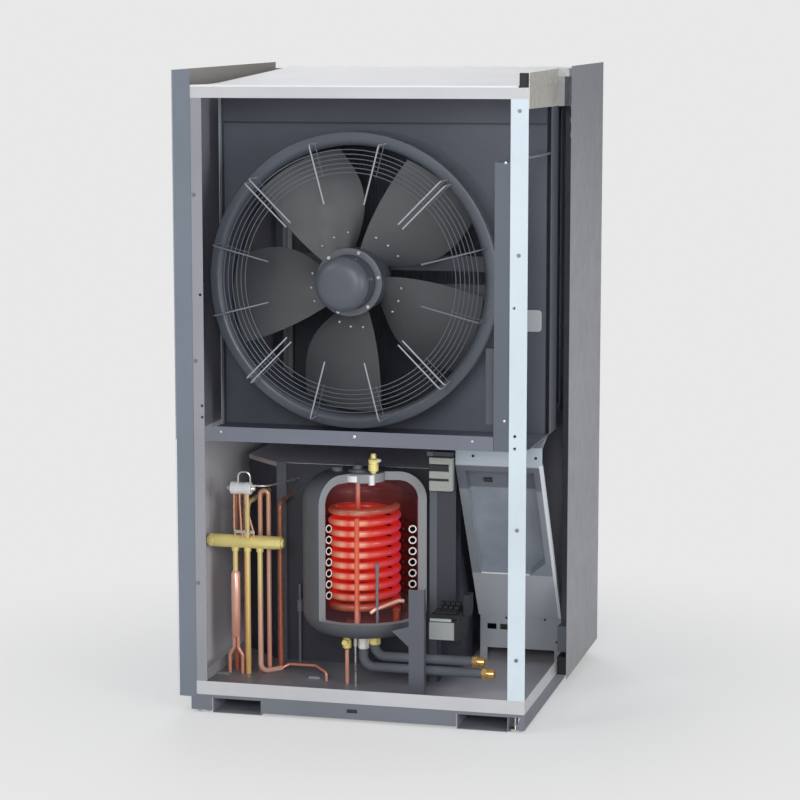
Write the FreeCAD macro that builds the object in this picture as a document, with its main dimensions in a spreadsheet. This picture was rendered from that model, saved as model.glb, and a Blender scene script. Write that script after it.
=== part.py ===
import FreeCAD, Part
import math
import os
import Sketcher

# Air-to-water heat pump shown with its front open: a sheet-metal frame on a plinth, an axial fan
# in the upper room, and the refrigerant valve, the condenser tank and the controls below.
# Millimetres, +Z up, the open front faces -Y, and the origin is on the floor at the middle of the base.

os.makedirs("parts", exist_ok=True)
doc = FreeCAD.newDocument("heat_pump")
sheet = doc.addObject("Spreadsheet::Sheet", "Dim")

# Driving dimensions in millimetres. Places count from the left, the front and the rail underside.
DRIVING = {
    "frame_width": 900,
    "frame_depth": 908,
    "frame_height": 1597,
    "plinth_height": 50,
    "side_offset": 34,
    "metal": 2,
    "skin": 1.5,
    "seat_gap": 0.3,
    "post_size": 45,
    "post_return": 28,
    "mid_post_width": 92,
    "bay_depth": 408,
    "top_rail_height": 28,
    "bottom_rail_height": 36,
    "rail_depth": 40,
    "roof_rise": 48,
    "roof_thickness": 4,
    "panel_rise": 43,
    "panel_slope": 18,
    "panel_return": 49,
    "panel_drop": 7,
    "gutter_width": 22,
    "gutter_height": 36,
    "fascia_length": 380,
    "fascia_low": 52,
    "fascia_high": 37,
    "foot_radius": 20,
    "foot_height": 8,
    "stud_radius": 6,
    "pocket_left": 57,
    "pocket_left_width": 136,
    "pocket_right": 10,
    "pocket_right_width": 170,
    "pocket_slant": 14,
    "pocket_height": 42,
    "shelf_height": 681,
    "shelf_lip": 38,
    "bulkhead_from_front": 310,
    "bulkhead_side": 12,
    "bulkhead_flange": 16,
    "bulkhead_edge": 40,
    "header_height": 96,
    "header_stand": 14,
    "fan_from_left": 405,
    "fan_lowered": 46,
    "rim_clearance": 69,
    "rim_beside": 16,
    "lip_inside": 26,
    "throat_inside": 10,
    "guard_inside": 107,
    "spoke_inside": 15,
    "bracket_inside": 11,
    "rim_from_front": 145,
    "rim_fold": 22,
    "nozzle_wall": 3,
    "tip_gap": 6,
    "blade_from_rim": 26,
    "blade_depth": 74,
    "blade_metal": 3,
    "hub_radius": 84,
    "hub_ring_radius": 89,
    "hub_ring_metal": 6,
    "hub_front": 113,
    "hub_length": 108,
    "rotor_radius": 71,
    "rotor_length": 150,
    "rotor_front": 25,
    "dome_rise": 28,
    "journal_radius": 15,
    "journal_fit": 0.05,
    "journal_length": 40,
    "stator_radius": 62,
    "bolt_radius": 4.5,
    "guard_wire": 4,
    "guard_pitch": 11.8,
    "guard_stand": 26,
    "spoke_inner": 222,
    "spoke_stand": 78,
    "spoke_pair": 16,
    "bracket_arm": 40,
    "coil_block_depth": 86,
    "coil_block_from_rear": 46,
    "coil_clearance": 66,
    "bend_margin": 82,
    "duct_below_top": 185,
    "rod_below_top": 173,
    "tray_height": 18,
    "duct_width": 40,
    "duct_depth": 52,
    "box_width": 22,
    "box_depth": 40,
    "box_low": 749,
    "box_height": 194,
    "rod_radius": 4,
    "enclosure_from_front": 402,
    "enclosure_left": 118,
    "enclosure_right": 640,
    "enclosure_height": 562,
    "enclosure_corner": 150,
    "enclosure_trim": 28,
    "trim_bar": 12,
    "valve_from_left": -18,
    "valve_length": 204,
    "valve_radius": 18,
    "valve_from_front": 225,
    "valve_height": 371,
    "port_pitch": 35,
    "port_from_end": 71,
    "pipe_radius": 7,
    "sleeve_radius": 12.5,
    "sleeve_top": 289,
    "sleeve_low": 105,
    "branch_radius": 5,
    "discharge_height": 478,
    "outlet_height": 12,
    "loop_behind": 40,
    "loop_left": 498,
    "loop_right": 506,
    "rear_loop_left": 158,
    "rear_loop_behind": 34,
    "rear_loop_height": 470,
    "pilot_height": 524,
    "pilot_width": 58,
    "pilot_size": 34,
    "pilot_left": 54,
    "strap_left": 97,
    "strap_width": 7,
    "capillary_radius": 2.5,
    "tank_from_left": 417,
    "tank_from_front": 225,
    "tank_base": 147,
    "tank_height": 430,
    "tank_radius": 166,
    "tank_wall": 23,
    "tank_round": 76,
    "window_sill": 48,
    "window_from": 32,
    "window_to": 105,
    "crown_radius": 54,
    "liner_wall": 2,
    "inner_coil_radius": 87,
    "coil_tube": 10.5,
    "coil_pitch": 28.6,
    "coil_low": 55,
    "outer_coil_low": 108,
    "outer_coil_radius": 128,
    "outer_coil_tube": 11,
    "outer_coil_pitch": 30,
    "riser_radius": 6.5,
    "riser_top": 322,
    "neck_radius": 26,
    "neck_height": 7,
    "vent_radius": 14,
    "vent_height": 54,
    "drain_radius": 13,
    "drain_length": 50,
    "drain_tail": 5.5,
    "fill_from_left": 401.5,
    "flow_nut": 30,
    "return_nut": 43,
    "nut_radius": 15.5,
    "water_radius": 13,
    "water_bend": 30,
    "water_from_front": 185,
    "flow_from_left": 455,
    "flow_height": 86,
    "return_from_left": 424,
    "return_height": 55,
    "union_radius": 18,
    "union_length": 34,
    "union_bore": 9.5,
    "union_depth": 22,
    "flow_reach": 722,
    "return_reach": 748,
    "device_post_left": 587,
    "device_post_width": 24,
    "device_post_from_front": 260,
    "device_post_depth": 40,
    "plate_width": 48,
    "plate_low": 145,
    "contactor_left": 597,
    "contactor_width": 64,
    "contactor_depth": 50,
    "contactor_height": 90,
    "contactor_low": 535,
    "starter_left": 620,
    "starter_width": 75,
    "starter_height": 90,
    "starter_low": 150,
    "starter_length": 160,
    "upright_left": 579,
    "upright_width": 41,
    "upright_from_front": 60,
    "upright_height": 298,
    "gusset_low": 145,
    "gusset_top": 200,
    "gusset_reach": 46,
    "console_left": 664,
    "console_right": 3,
    "console_from_front": 230,
    "console_top": 657,
    "console_strip": 52,
    "console_back": 70,
    "console_foot": 530,
    "console_low": 134,
    "recess_side": 24,
    "recess_low": 272,
    "recess_top": 588,
    "recess_depth": 30,
    "bracket_low": 42,
    "bracket_left": 668,
    "bracket_leg": 20,
    "screw_radius": 4,
    "screw_head": 1.5,
}
# Sizes that follow from the driving ones
DERIVED = {
    "fan_height": "=(frame_height+shelf_height)/2-fan_lowered",
    "rim_radius": "=min((frame_height-shelf_height)/2-rim_clearance;fan_from_left-rim_beside)",
    "lip_radius": "=rim_radius-lip_inside",
    "throat_radius": "=lip_radius-throat_inside",
    "guard_inner": "=rim_radius-guard_inside",
    "spoke_outer": "=rim_radius-spoke_inside",
    "bracket_reach": "=rim_radius-bracket_inside",
    "coil_block_height": "=frame_height-shelf_height-coil_clearance",
    "bend_pitch": "=(coil_block_height-bend_margin)/12",
    "duct_top": "=frame_height-duct_below_top",
    "rod_height": "=frame_height-rod_below_top",
}
for row, (alias, value) in enumerate(list(DRIVING.items()) + list(DERIVED.items()), start=1):
    sheet.set("A%d" % row, alias)
    sheet.set("B%d" % row, str(value))
    sheet.setAlias("B%d" % row, alias)
doc.recompute()


def size(alias):
    """A driving dimension as a number, for the pieces that are built in code."""
    return float(sheet.get(alias))


def total(*terms):
    """A sheet expression that adds its terms."""
    return "+".join("(%s)" % term for term in terms)


def left(*terms):
    """Across, counted from the left face of the frame."""
    return total("-Dim.frame_width/2", *terms)


def right(*terms):
    """Across, counted from the right face of the frame."""
    return total("Dim.frame_width/2", *terms)


def front(*terms):
    """In depth, counted from the front face of the frame."""
    return total("-Dim.frame_depth/2", *terms)


def rear(*terms):
    """In depth, counted from the rear face of the frame."""
    return total("Dim.frame_depth/2", *terms)


def up(*terms):
    """In height, counted from the underside of the bottom rail."""
    return total("Dim.plinth_height", *terms)


FLOOR = up("2*Dim.metal", "Dim.seat_gap")
TOP = up("Dim.frame_height")
SHELF = up("Dim.shelf_height")
DECK = up("Dim.shelf_height", "Dim.metal", "Dim.seat_gap")
MIDDLE = left("Dim.fan_from_left")
AXLE = up("Dim.fan_height")
nodes = []


def publish(obj, label):
    """Name an object as one node of the part."""
    obj.Label = label
    nodes.append(obj)
    return obj


def bind(obj, **expressions):
    """Tie properties to sheet expressions; x, y and z stand for the placement."""
    for key, expression in expressions.items():
        target = "Placement.Base.%s" % key if key in ("x", "y", "z") else key
        obj.setExpression(target, expression)
    return obj


def block(label, x, y, z, dx, dy, dz, node=True):
    """A rectangular piece from its lowest corner and three lengths."""
    box = doc.addObject("Part::Box", label)
    bind(box, x=x, y=y, z=z, Length=dx, Width=dy, Height=dz)
    return publish(box, label) if node else box


TURNS = {"z": FreeCAD.Rotation(), "x": FreeCAD.Rotation(FreeCAD.Vector(0, 1, 0), 90),
         "y": FreeCAD.Rotation(FreeCAD.Vector(1, 0, 0), -90)}


def rod(label, x, y, z, radius, length, axis="z", node=True):
    """A round bar from the middle of its first end, along one axis."""
    bar = doc.addObject("Part::Cylinder", label)
    bar.Placement = FreeCAD.Placement(FreeCAD.Vector(), TURNS[axis])
    bind(bar, x=x, y=y, z=z, Radius=radius, Height=length)
    return publish(bar, label) if node else bar


def prism(label, sides, x, y, z, radius, length, axis="z"):
    """A regular prism from the middle of its first end, along one axis."""
    bar = doc.addObject("Part::Prism", label)
    bar.Polygon = sides
    bar.Placement = FreeCAD.Placement(FreeCAD.Vector(), TURNS[axis])
    return bind(bar, x=x, y=y, z=z, Circumradius=radius, Height=length)


def joined(label, pieces, node=True):
    """Pieces welded into one solid."""
    fuse = doc.addObject("Part::MultiFuse", label)
    fuse.Shapes = pieces
    return publish(fuse, label) if node else fuse


def grouped(label, pieces):
    """Alike pieces that stay separate solids and share one node."""
    group = doc.addObject("Part::Compound", label)
    group.Links = pieces
    return publish(group, label)


def carved(label, base, tool, node=True):
    """One shape with another taken out of it."""
    cut = doc.addObject("Part::Cut", label)
    cut.Base = base
    cut.Tool = tool
    return publish(cut, label) if node else cut


def hold(drawing, item, point, spot, across, along):
    """Hold one sketch point at two expressions, or on an axis where one is 0."""
    for kind, axis, guess, value in (("DistanceX", -2, spot.x, across), ("DistanceY", -1, spot.y, along)):
        if value == "0":
            drawing.addConstraint(Sketcher.Constraint("PointOnObject", item, point, axis))
            continue
        tie = drawing.addConstraint(Sketcher.Constraint(kind, -1, 1, item, point, guess))
        drawing.setExpression("Constraints[%d]" % tie, value)


def draw(body, name, plane, points=(), circles=(), start=None):
    """A closed outline and round holes whose every coordinate is a sheet expression."""
    drawing = body.newObject("Sketcher::SketchObject", name)
    support = next(item for item in body.Origin.OriginFeatures if item.Role == plane)
    drawing.AttachmentSupport = (support, [""])
    drawing.MapMode = "FlatFace"
    if start:
        drawing.setExpression("AttachmentOffset.Base.z", start)
    count = len(points)
    spots = [FreeCAD.Vector(100 * math.cos(6.28 * i / count), 100 * math.sin(6.28 * i / count), 0)
             for i in range(count)]
    for i in range(count):
        drawing.addGeometry(Part.LineSegment(spots[i], spots[(i + 1) % count]), False)
    for i in range(count):
        drawing.addConstraint(Sketcher.Constraint("Coincident", i, 2, (i + 1) % count, 1))
    for i, (across, along) in enumerate(points):
        hold(drawing, i, 1, spots[i], across, along)
    for across, along, radius in circles:
        spot = FreeCAD.Vector(1, 1, 0)
        ring = drawing.addGeometry(Part.Circle(spot, FreeCAD.Vector(0, 0, 1), 5), False)
        hold(drawing, ring, 3, spot, across, along)
        span = drawing.addConstraint(Sketcher.Constraint("Radius", ring, 5))
        drawing.setExpression("Constraints[%d]" % span, radius)
    return drawing


def folded(label, plane, points, start, length, circles=(), node=True):
    """A sheet-metal or bar profile run out from start; on XZ the start is the depth."""
    body = doc.addObject("PartDesign::Body", label)
    facing = plane == "XZ_Plane"
    outline = draw(body, label + "_outline", plane, points, circles, "0-(%s)" % start if facing else start)
    pad = body.newObject("PartDesign::Pad", label + "_pad")
    pad.Profile = outline
    pad.Reversed = facing
    pad.setExpression("Length", length)
    body.Tip = pad
    return publish(body, label) if node else body


def opened(body, name, plane, points=(), circles=(), start=None, upward=None):
    """Cut an outline through a body: both ways, or upward only from start."""
    outline = draw(body, name + "_outline", plane, points, circles, start)
    cut = body.newObject("PartDesign::Pocket", name)
    cut.Profile = outline
    cut.Type = 1
    cut.Midplane = upward is None
    cut.Reversed = bool(upward)
    body.Tip = cut
    return cut


def turned(label, plane, points, node=True):
    """A profile turned about the upright axis of its sketch plane."""
    body = doc.addObject("PartDesign::Body", label)
    outline = draw(body, label + "_outline", plane, points)
    turn = body.newObject("PartDesign::Revolution", label + "_turn")
    turn.Profile = outline
    turn.ReferenceAxis = (outline, ["V_Axis"])
    turn.Angle = 360
    body.Tip = turn
    return publish(body, label) if node else body


def rectangle(x0, y0, x1, y1):
    return [(x0, y0), (x1, y0), (x1, y1), (x0, y1)]


def spot_of(label, x, y, z):
    """A point of the part in numbers, from the left, the front and the rail underside."""
    return FreeCAD.Vector(x - size("frame_width") / 2, y - size("frame_depth") / 2,
        z + size("plinth_height"))


def tube(label, points, radius, bend, node=True):
    """A round tube whose route in space has its corners bent to one radius."""
    edges = []
    begin = points[0]
    for i in range(1, len(points) - 1):
        corner = points[i]
        before = (points[i - 1] - corner).normalize()
        after = (points[i + 1] - corner).normalize()
        half = before.getAngle(after) / 2
        setback = bend / math.tan(half)
        toward = (before + after).normalize()
        enter = corner + before * setback
        leave = corner + after * setback
        crown = corner + toward * (bend / math.sin(half) - bend)
        edges.append(Part.makeLine(begin, enter))
        edges.append(Part.Arc(enter, crown, leave).toShape())
        begin = leave
    edges.append(Part.makeLine(begin, points[-1]))
    route = Part.Wire(edges)
    section = Part.Wire([Part.makeCircle(radius, points[0], points[1] - points[0])])
    pipe = doc.addObject("Part::Feature", label)
    pipe.Shape = route.makePipeShell([section], True, False)
    return publish(pipe, label) if node else pipe


# Plinth: a welded skirt with two fork pockets front and rear, on four levelling feet
SKIRT_LOW = "Dim.foot_height"
POCKETS = [left("Dim.pocket_left"), left("Dim.pocket_left", "Dim.pocket_left_width"),
           right("-Dim.pocket_right", "-Dim.pocket_right_width"), right("-Dim.pocket_right")]


def skirt(label, start):
    """One long plinth board with its fork pockets open to the floor."""
    return folded(label, "XZ_Plane", [
        (left(), SKIRT_LOW), (POCKETS[0], SKIRT_LOW), (POCKETS[0], "Dim.pocket_height"),
        (POCKETS[1], "Dim.pocket_height"), (POCKETS[1], SKIRT_LOW), (POCKETS[2], SKIRT_LOW),
        (POCKETS[2], "Dim.pocket_height"), (POCKETS[3], "Dim.pocket_height"),
        (total(POCKETS[3], "-Dim.pocket_slant"), SKIRT_LOW),
        (right(), SKIRT_LOW), (right(), "Dim.plinth_height"), (left(), "Dim.plinth_height")],
        start, "Dim.metal", node=False)


SKIRT_HEIGHT = "Dim.plinth_height-Dim.foot_height"
plinth = joined("plinth_plain", [
    skirt("plinth_front", front()), skirt("plinth_rear", rear("-Dim.metal")),
    block("plinth_left", left(), front(), SKIRT_LOW, "Dim.metal", "Dim.frame_depth", SKIRT_HEIGHT, False),
    block("plinth_right", right("-Dim.metal"), front(), SKIRT_LOW, "Dim.metal", "Dim.frame_depth",
    SKIRT_HEIGHT, False)], False)
drain_slot = block("drain_slot", left("Dim.frame_width*0.475"), front("-1"), "Dim.plinth_height*0.5",
    "28", "Dim.metal+2", "10", False)
carved("plinth_frame", plinth, drain_slot)

feet = []
for side, across in (("left", left("Dim.rail_depth-Dim.stud_radius*2")),
    ("right", right("-(Dim.rail_depth-Dim.stud_radius*2)"))):
    for end, along in (("front", front("Dim.rail_depth-Dim.stud_radius*2")),
        ("rear", rear("-(Dim.rail_depth-Dim.stud_radius*2)"))):
        name = "foot_%s_%s" % (side, end)
        feet.append(joined(name, [
            rod(name + "_pad", across, along, "0", "Dim.foot_radius", "Dim.foot_height", "z", False),
            rod(name + "_stud", across, along, "Dim.foot_height", "Dim.stud_radius", SKIRT_HEIGHT, "z",
            False)], False))
grouped("levelling_feet", feet)

# Welded frames: angle rails round the bottom and the top, their corners one piece


def rail_ring(label, low, high, flange):
    """Four angle rails: upright faces from low to high and flat flanges turned inward at one height."""
    pieces = []
    for name, y, dy in (("front", front(), "Dim.metal"), ("rear", rear("-Dim.metal"), "Dim.metal")):
        pieces.append(block("%s_%s" % (label, name), left(), y, low, "Dim.frame_width", dy, high, False))
    for name, x in (("left", left()), ("right", right("-Dim.metal"))):
        pieces.append(block("%s_%s" % (label, name), x, front(), low, "Dim.metal", "Dim.frame_depth",
            high, False))
    for name, y in (("front_flange", front()), ("rear_flange", rear("-Dim.rail_depth"))):
        pieces.append(block("%s_%s" % (label, name), left(), y, flange, "Dim.frame_width",
            "Dim.rail_depth", "Dim.metal", False))
    for name, x in (("left_flange", left()), ("right_flange", right("-Dim.rail_depth"))):
        pieces.append(block("%s_%s" % (label, name), x, front(), flange, "Dim.rail_depth",
            "Dim.frame_depth", "Dim.metal", False))
    return joined(label, pieces)


INNER_LEFT = left("Dim.metal", "Dim.seat_gap")
INNER_RIGHT = right("-Dim.metal", "-Dim.seat_gap")
INNER_WIDTH = "Dim.frame_width-2*Dim.metal-2*Dim.seat_gap"
INNER_FRONT = front("Dim.metal", "Dim.seat_gap")
INNER_DEPTH = "Dim.frame_depth-2*Dim.metal-2*Dim.seat_gap"
rail_ring("bottom_frame", up(), "Dim.bottom_rail_height", up())
rail_ring("top_frame", TOP + "-Dim.top_rail_height", "Dim.top_rail_height", TOP + "-Dim.metal")
block("floor_pan", INNER_LEFT, INNER_FRONT, up("Dim.metal", "Dim.seat_gap"), INNER_WIDTH, INNER_DEPTH,
    "Dim.metal")

# Posts: folded angles standing on the bottom rails, with slots and holes in their front faces
POST_LOW = up("Dim.bottom_rail_height")
POST_LENGTH = "Dim.frame_height-Dim.bottom_rail_height-Dim.top_rail_height"
HOLE = "Dim.screw_radius"


def angle_post(label, x, y, inward_x, inward_y, side, node=True):
    """An angle with one face across and one in depth; a direction is a minus sign or nothing."""
    wide = "%sDim.post_size" % inward_x
    deep = "%sDim.post_size" % inward_y
    thick_x = "%sDim.metal" % ("" if (inward_x == "") == (side == "outer") else "-")
    thick_y = "%sDim.metal" % inward_y
    near, far = (x, total(x, wide)) if side == "outer" else (total(x, wide), x)
    outline = [(far, y), (near, y), (near, total(y, deep)), (total(near, thick_x), total(y, deep)),
               (total(near, thick_x), total(y, thick_y)), (far, total(y, thick_y))]
    return folded(label, "XY_Plane", outline, POST_LOW, POST_LENGTH, node=node)


left_post = angle_post("front_left_post", left(), front(), "", "", "outer")
opened(left_post, "left_post_holes", "XZ_Plane", circles=[
    (left("Dim.post_size-8"), up("Dim.frame_height*0.665"), HOLE),
    (left("Dim.post_size-6"), SHELF + "+91", HOLE),
    (left("Dim.post_size-6"), SHELF + "+61", HOLE)])
right_post = angle_post("front_right_post", right(), front(), "-", "", "inner")
opened(right_post, "right_post_holes", "XZ_Plane", circles=[
    (right("-Dim.post_size+11"), up("Dim.frame_height*0.656"), HOLE),
    (right("-Dim.post_size+15"), SHELF + "+41", HOLE),
    (right("-Dim.post_size+15"), SHELF + "+9", HOLE)])
grouped("rear_posts", [angle_post("rear_left_post", left(), rear(), "", "-", "outer", False),
                       angle_post("rear_right_post", right(), rear(), "-", "-", "outer", False)])
MID_FRONT = front("Dim.bay_depth-Dim.mid_post_width")
folded("middle_right_post", "XY_Plane", [
    (right(), MID_FRONT), (right(), front("Dim.bay_depth")),
    (right("-Dim.post_return"), front("Dim.bay_depth")),
    (right("-Dim.post_return"), front("Dim.bay_depth-Dim.metal")),
    (right("-Dim.metal"), front("Dim.bay_depth-Dim.metal")),
    (right("-Dim.metal"), MID_FRONT)], DECK,
    "Dim.frame_height-Dim.shelf_height-Dim.metal-Dim.seat_gap-Dim.top_rail_height")
rod("cross_rod", right("-Dim.metal", "-Dim.rod_radius", "-Dim.seat_gap"), INNER_FRONT, up("Dim.rod_height"),
    "Dim.rod_radius", "Dim.bay_depth-Dim.mid_post_width+20", "y")

screws = []
for column, across, shares in (("left", left("Dim.post_size/2"), (0.827, 0.557, 0.188)),
                               ("right", right("-Dim.post_size/2"), (0.964, 0.739, 0.301, 0.089))):
    for number, share in enumerate(shares):
        screws.append(rod("screw_%s_%d" % (column, number), across, front("-Dim.screw_head"),
            up("Dim.frame_height*%s" % share),
                          "Dim.screw_radius+1", "Dim.screw_head", "y", False))
grouped("frame_screws", screws)

# Casing: the roof pan, the side panels that stand off the frame, and the parts along the right top edge
ROOF_LEFT = "Dim.panel_return-Dim.side_offset"
roof_outer = block("roof_outer", left(ROOF_LEFT), front(), TOP,
    "Dim.frame_width-(%s)-Dim.gutter_width-Dim.metal*2" % ROOF_LEFT,
                   "Dim.frame_depth", "Dim.roof_rise", False)
roof_inner = block("roof_inner", left(ROOF_LEFT, "Dim.skin"), front("Dim.skin"), total(TOP, "-Dim.skin"),
                   "Dim.frame_width-(%s)-Dim.gutter_width-Dim.metal*2-2*Dim.skin" % ROOF_LEFT,
                   "Dim.frame_depth-2*Dim.skin", "Dim.roof_rise", False)
carved("roof_panel", roof_outer, roof_inner)
PANEL_FRONT = front("-Dim.skin", "-Dim.seat_gap")
PANEL_REAR = rear("Dim.skin", "Dim.seat_gap")
PANEL_LOW = up("-Dim.panel_drop")
FRONT_EDGE = up("Dim.frame_height", "Dim.panel_rise")


def side_sheet(label, start, near, node=False):
    """The flat of a side panel, its top edge rising to the rear."""
    return folded(label, "YZ_Plane", [
        (near, PANEL_LOW), (PANEL_REAR, PANEL_LOW), (PANEL_REAR, total(FRONT_EDGE, "Dim.panel_slope")),
        (near, FRONT_EDGE if near == PANEL_FRONT else total(FRONT_EDGE, "Dim.panel_slope/2"))],
        start, "Dim.skin", node=node)


RETURN_HEIGHT = "Dim.frame_height+Dim.panel_rise+Dim.panel_drop"
joined("left_side_panel", [
    side_sheet("left_sheet", left("-Dim.side_offset"), PANEL_FRONT),
    block("left_front_return", left("-Dim.side_offset"), PANEL_FRONT, PANEL_LOW, "Dim.panel_return",
    "Dim.skin",
          RETURN_HEIGHT, False),
    block("left_rear_return", left("-Dim.side_offset"), rear("Dim.seat_gap"), PANEL_LOW,
    "Dim.panel_return", "Dim.skin",
          RETURN_HEIGHT, False)])
tabs = [rod("clip_tab_%d" % number, right("Dim.side_offset-Dim.skin"), front("Dim.bay_depth+6"),
    up("Dim.frame_height-%d" % level),
            "9", "Dim.skin", "x", False) for number, level in enumerate((127, 89, 51))]
joined("right_rear_panel", [
    side_sheet("right_sheet", right("Dim.side_offset-Dim.skin"), front("Dim.bay_depth+6")),
    block("right_rear_return", right("Dim.side_offset-Dim.panel_return"), rear("Dim.seat_gap"), PANEL_LOW,
          "Dim.panel_return", "Dim.skin", RETURN_HEIGHT, False)] + tabs)
SPACER_LEFT = right("Dim.seat_gap")
SPACER_WIDTH = "Dim.side_offset-Dim.skin-2*Dim.seat_gap"
grouped("side_spacers", [
    block("corner_cap", right("-Dim.gutter_width", "-Dim.metal", "Dim.seat_gap"), front(),
    total(TOP, "Dim.seat_gap"),
          "Dim.gutter_width-Dim.metal", "Dim.gutter_width", "Dim.gutter_height", False),
    block("spacer_low", SPACER_LEFT, front("455"), up("-5"), SPACER_WIDTH, "45", "50", False),
    block("spacer_high", SPACER_LEFT, front("455"), up("60"), SPACER_WIDTH, "34", "70", False),
    block("spacer_rear", SPACER_LEFT, rear("-60"), up("0"), SPACER_WIDTH, "45", "50", False)])
FASCIA_LEFT = right("Dim.seat_gap")
fascia = folded("fascia_sheet", "YZ_Plane", [
    (front(), up("Dim.frame_height-Dim.fascia_low")),
    (front("Dim.fascia_length"), up("Dim.frame_height-Dim.fascia_low")),
    (front("Dim.fascia_length"), up("Dim.frame_height+Dim.fascia_high+Dim.panel_slope/2")),
    (front(), up("Dim.frame_height+Dim.fascia_high"))], FASCIA_LEFT, "Dim.skin", node=False)
opened(fascia, "fascia_slot", "YZ_Plane",
       rectangle(front("Dim.fascia_length-34"), up("Dim.frame_height+3"), front("Dim.fascia_length-24"),
       up("Dim.frame_height+25")))
joined("right_fascia", [fascia,
       block("fascia_step", FASCIA_LEFT, front("Dim.fascia_length"), up("Dim.frame_height-Dim.fascia_low"),
             SPACER_WIDTH, "46", "Dim.fascia_low", False),
       block("fascia_end", FASCIA_LEFT, front("Dim.fascia_length"), up("Dim.frame_height"),
             SPACER_WIDTH, "50", "Dim.fascia_high+Dim.panel_slope/2", False)])

# Rear side: a bar grille over the coil and a plain service panel below it
GRILLE_LEFT = left("Dim.post_size", "Dim.seat_gap")
GRILLE_WIDTH = "Dim.frame_width-2*Dim.post_size-2*Dim.seat_gap"
GRILLE_LOW = "Dim.shelf_height+Dim.shelf_lip+Dim.metal"
GRILLE_HEIGHT = "Dim.frame_height-Dim.top_rail_height-(%s)-Dim.seat_gap" % GRILLE_LOW
bars = []
for number in range(21):
    bars.append(block("bar_%d" % number, GRILLE_LEFT, rear("-4"),
        up(GRILLE_LOW, "(%s-4)*%d/20" % (GRILLE_HEIGHT, number)),
                      GRILLE_WIDTH, "4", "4", False))
for number in range(5):
    bars.append(block("stay_%d" % number, left("Dim.post_size", "Dim.seat_gap",
        "(%s-6)*%d/4" % (GRILLE_WIDTH, number)),
                      rear("-8"), up(GRILLE_LOW), "6", "6", GRILLE_HEIGHT, False))
joined("rear_grille", bars)
block("rear_service_panel", GRILLE_LEFT, rear("-Dim.metal"), up("Dim.bottom_rail_height", "Dim.seat_gap"),
      GRILLE_WIDTH, "Dim.metal", "%s-Dim.bottom_rail_height-2*Dim.seat_gap" % GRILLE_LOW)

# Shelf and bulkhead between the fan room, the machine room and the coil behind
LIP_LEFT = left("Dim.post_size", "Dim.seat_gap")
LIP_RIGHT = right("-Dim.post_size", "-Dim.duct_width", "-2*Dim.seat_gap")
joined("middle_shelf", [
    folded("shelf_lip", "YZ_Plane", [
        (front(), SHELF), (front("Dim.rail_depth"), SHELF), (front("Dim.rail_depth"),
        total(SHELF, "Dim.metal")),
        (front("Dim.metal"), total(SHELF, "Dim.metal")), (front("Dim.metal"),
        total(SHELF, "Dim.shelf_lip")),
        (front(), total(SHELF, "Dim.shelf_lip"))], LIP_LEFT,
        "Dim.frame_width-2*Dim.post_size-Dim.duct_width-3*Dim.seat_gap",
        node=False),
    block("shelf_front", INNER_LEFT, INNER_FRONT, SHELF,
    "Dim.frame_width-Dim.post_size-2*Dim.metal-Dim.seat_gap",
          "Dim.post_size", "Dim.metal", False),
    block("shelf_deck", INNER_LEFT, front("Dim.post_size", "Dim.seat_gap"), SHELF, INNER_WIDTH,
          "Dim.frame_depth-Dim.post_size-Dim.metal-2*Dim.seat_gap-8", "Dim.metal", False)])
BULKHEAD = front("Dim.bulkhead_from_front")
BULKHEAD_HEIGHT = "Dim.frame_height-Dim.shelf_height-2*Dim.metal-2*Dim.seat_gap"
bulkhead = folded("fan_bulkhead", "XY_Plane", [
    (INNER_LEFT, total(BULKHEAD, "-Dim.bulkhead_edge")), (total(INNER_LEFT, "Dim.metal"),
    total(BULKHEAD, "-Dim.bulkhead_edge")),
    (total(INNER_LEFT, "Dim.metal"), BULKHEAD), (right("-Dim.bulkhead_side"), BULKHEAD),
    (right("-Dim.bulkhead_side"), total(BULKHEAD, "Dim.bulkhead_flange")),
    (right("-Dim.bulkhead_side", "-Dim.metal"), total(BULKHEAD, "Dim.bulkhead_flange")),
    (right("-Dim.bulkhead_side", "-Dim.metal"), total(BULKHEAD, "Dim.metal")),
    (INNER_LEFT, total(BULKHEAD, "Dim.metal"))], DECK, BULKHEAD_HEIGHT)
opened(bulkhead, "bulkhead_hole", "XZ_Plane", circles=[(MIDDLE, AXLE, "Dim.throat_radius+Dim.nozzle_wall")])
HEADER_LOW = total(TOP, "-Dim.metal", "-Dim.seat_gap", "-Dim.header_height")
HEADER_TOP = total(TOP, "-Dim.metal", "-Dim.seat_gap")
HEADER_FACE = total(BULKHEAD, "-Dim.seat_gap", "-Dim.header_stand")
HEADER_BACK = total(BULKHEAD, "-Dim.seat_gap")
folded("bulkhead_header", "YZ_Plane", [
    (HEADER_BACK, HEADER_LOW), (HEADER_FACE, HEADER_LOW), (HEADER_FACE, HEADER_TOP),
    (HEADER_BACK, HEADER_TOP),
    (HEADER_BACK, total(HEADER_TOP, "-Dim.metal")), (total(HEADER_FACE, "Dim.metal"),
    total(HEADER_TOP, "-Dim.metal")),
    (total(HEADER_FACE, "Dim.metal"), total(HEADER_LOW, "Dim.metal")),
    (HEADER_BACK, total(HEADER_LOW, "Dim.metal"))], total(INNER_LEFT, "Dim.metal", "Dim.seat_gap"),
       "Dim.frame_width-Dim.bulkhead_side-2*Dim.metal-3*Dim.seat_gap")
WALL_TAB_Y = total(BULKHEAD, "-Dim.seat_gap", "-3")
joined("wall_tab", [
    block("tab_plate", right("-85"), WALL_TAB_Y, up("Dim.frame_height*0.616-29"), "34", "3", "58", False),
    rod("tab_round", right("-51"), WALL_TAB_Y, up("Dim.frame_height*0.616"), "29", "3", "y", False)])
DUCT_LEFT = right("-Dim.post_size", "-Dim.duct_width", "-Dim.seat_gap")
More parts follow.
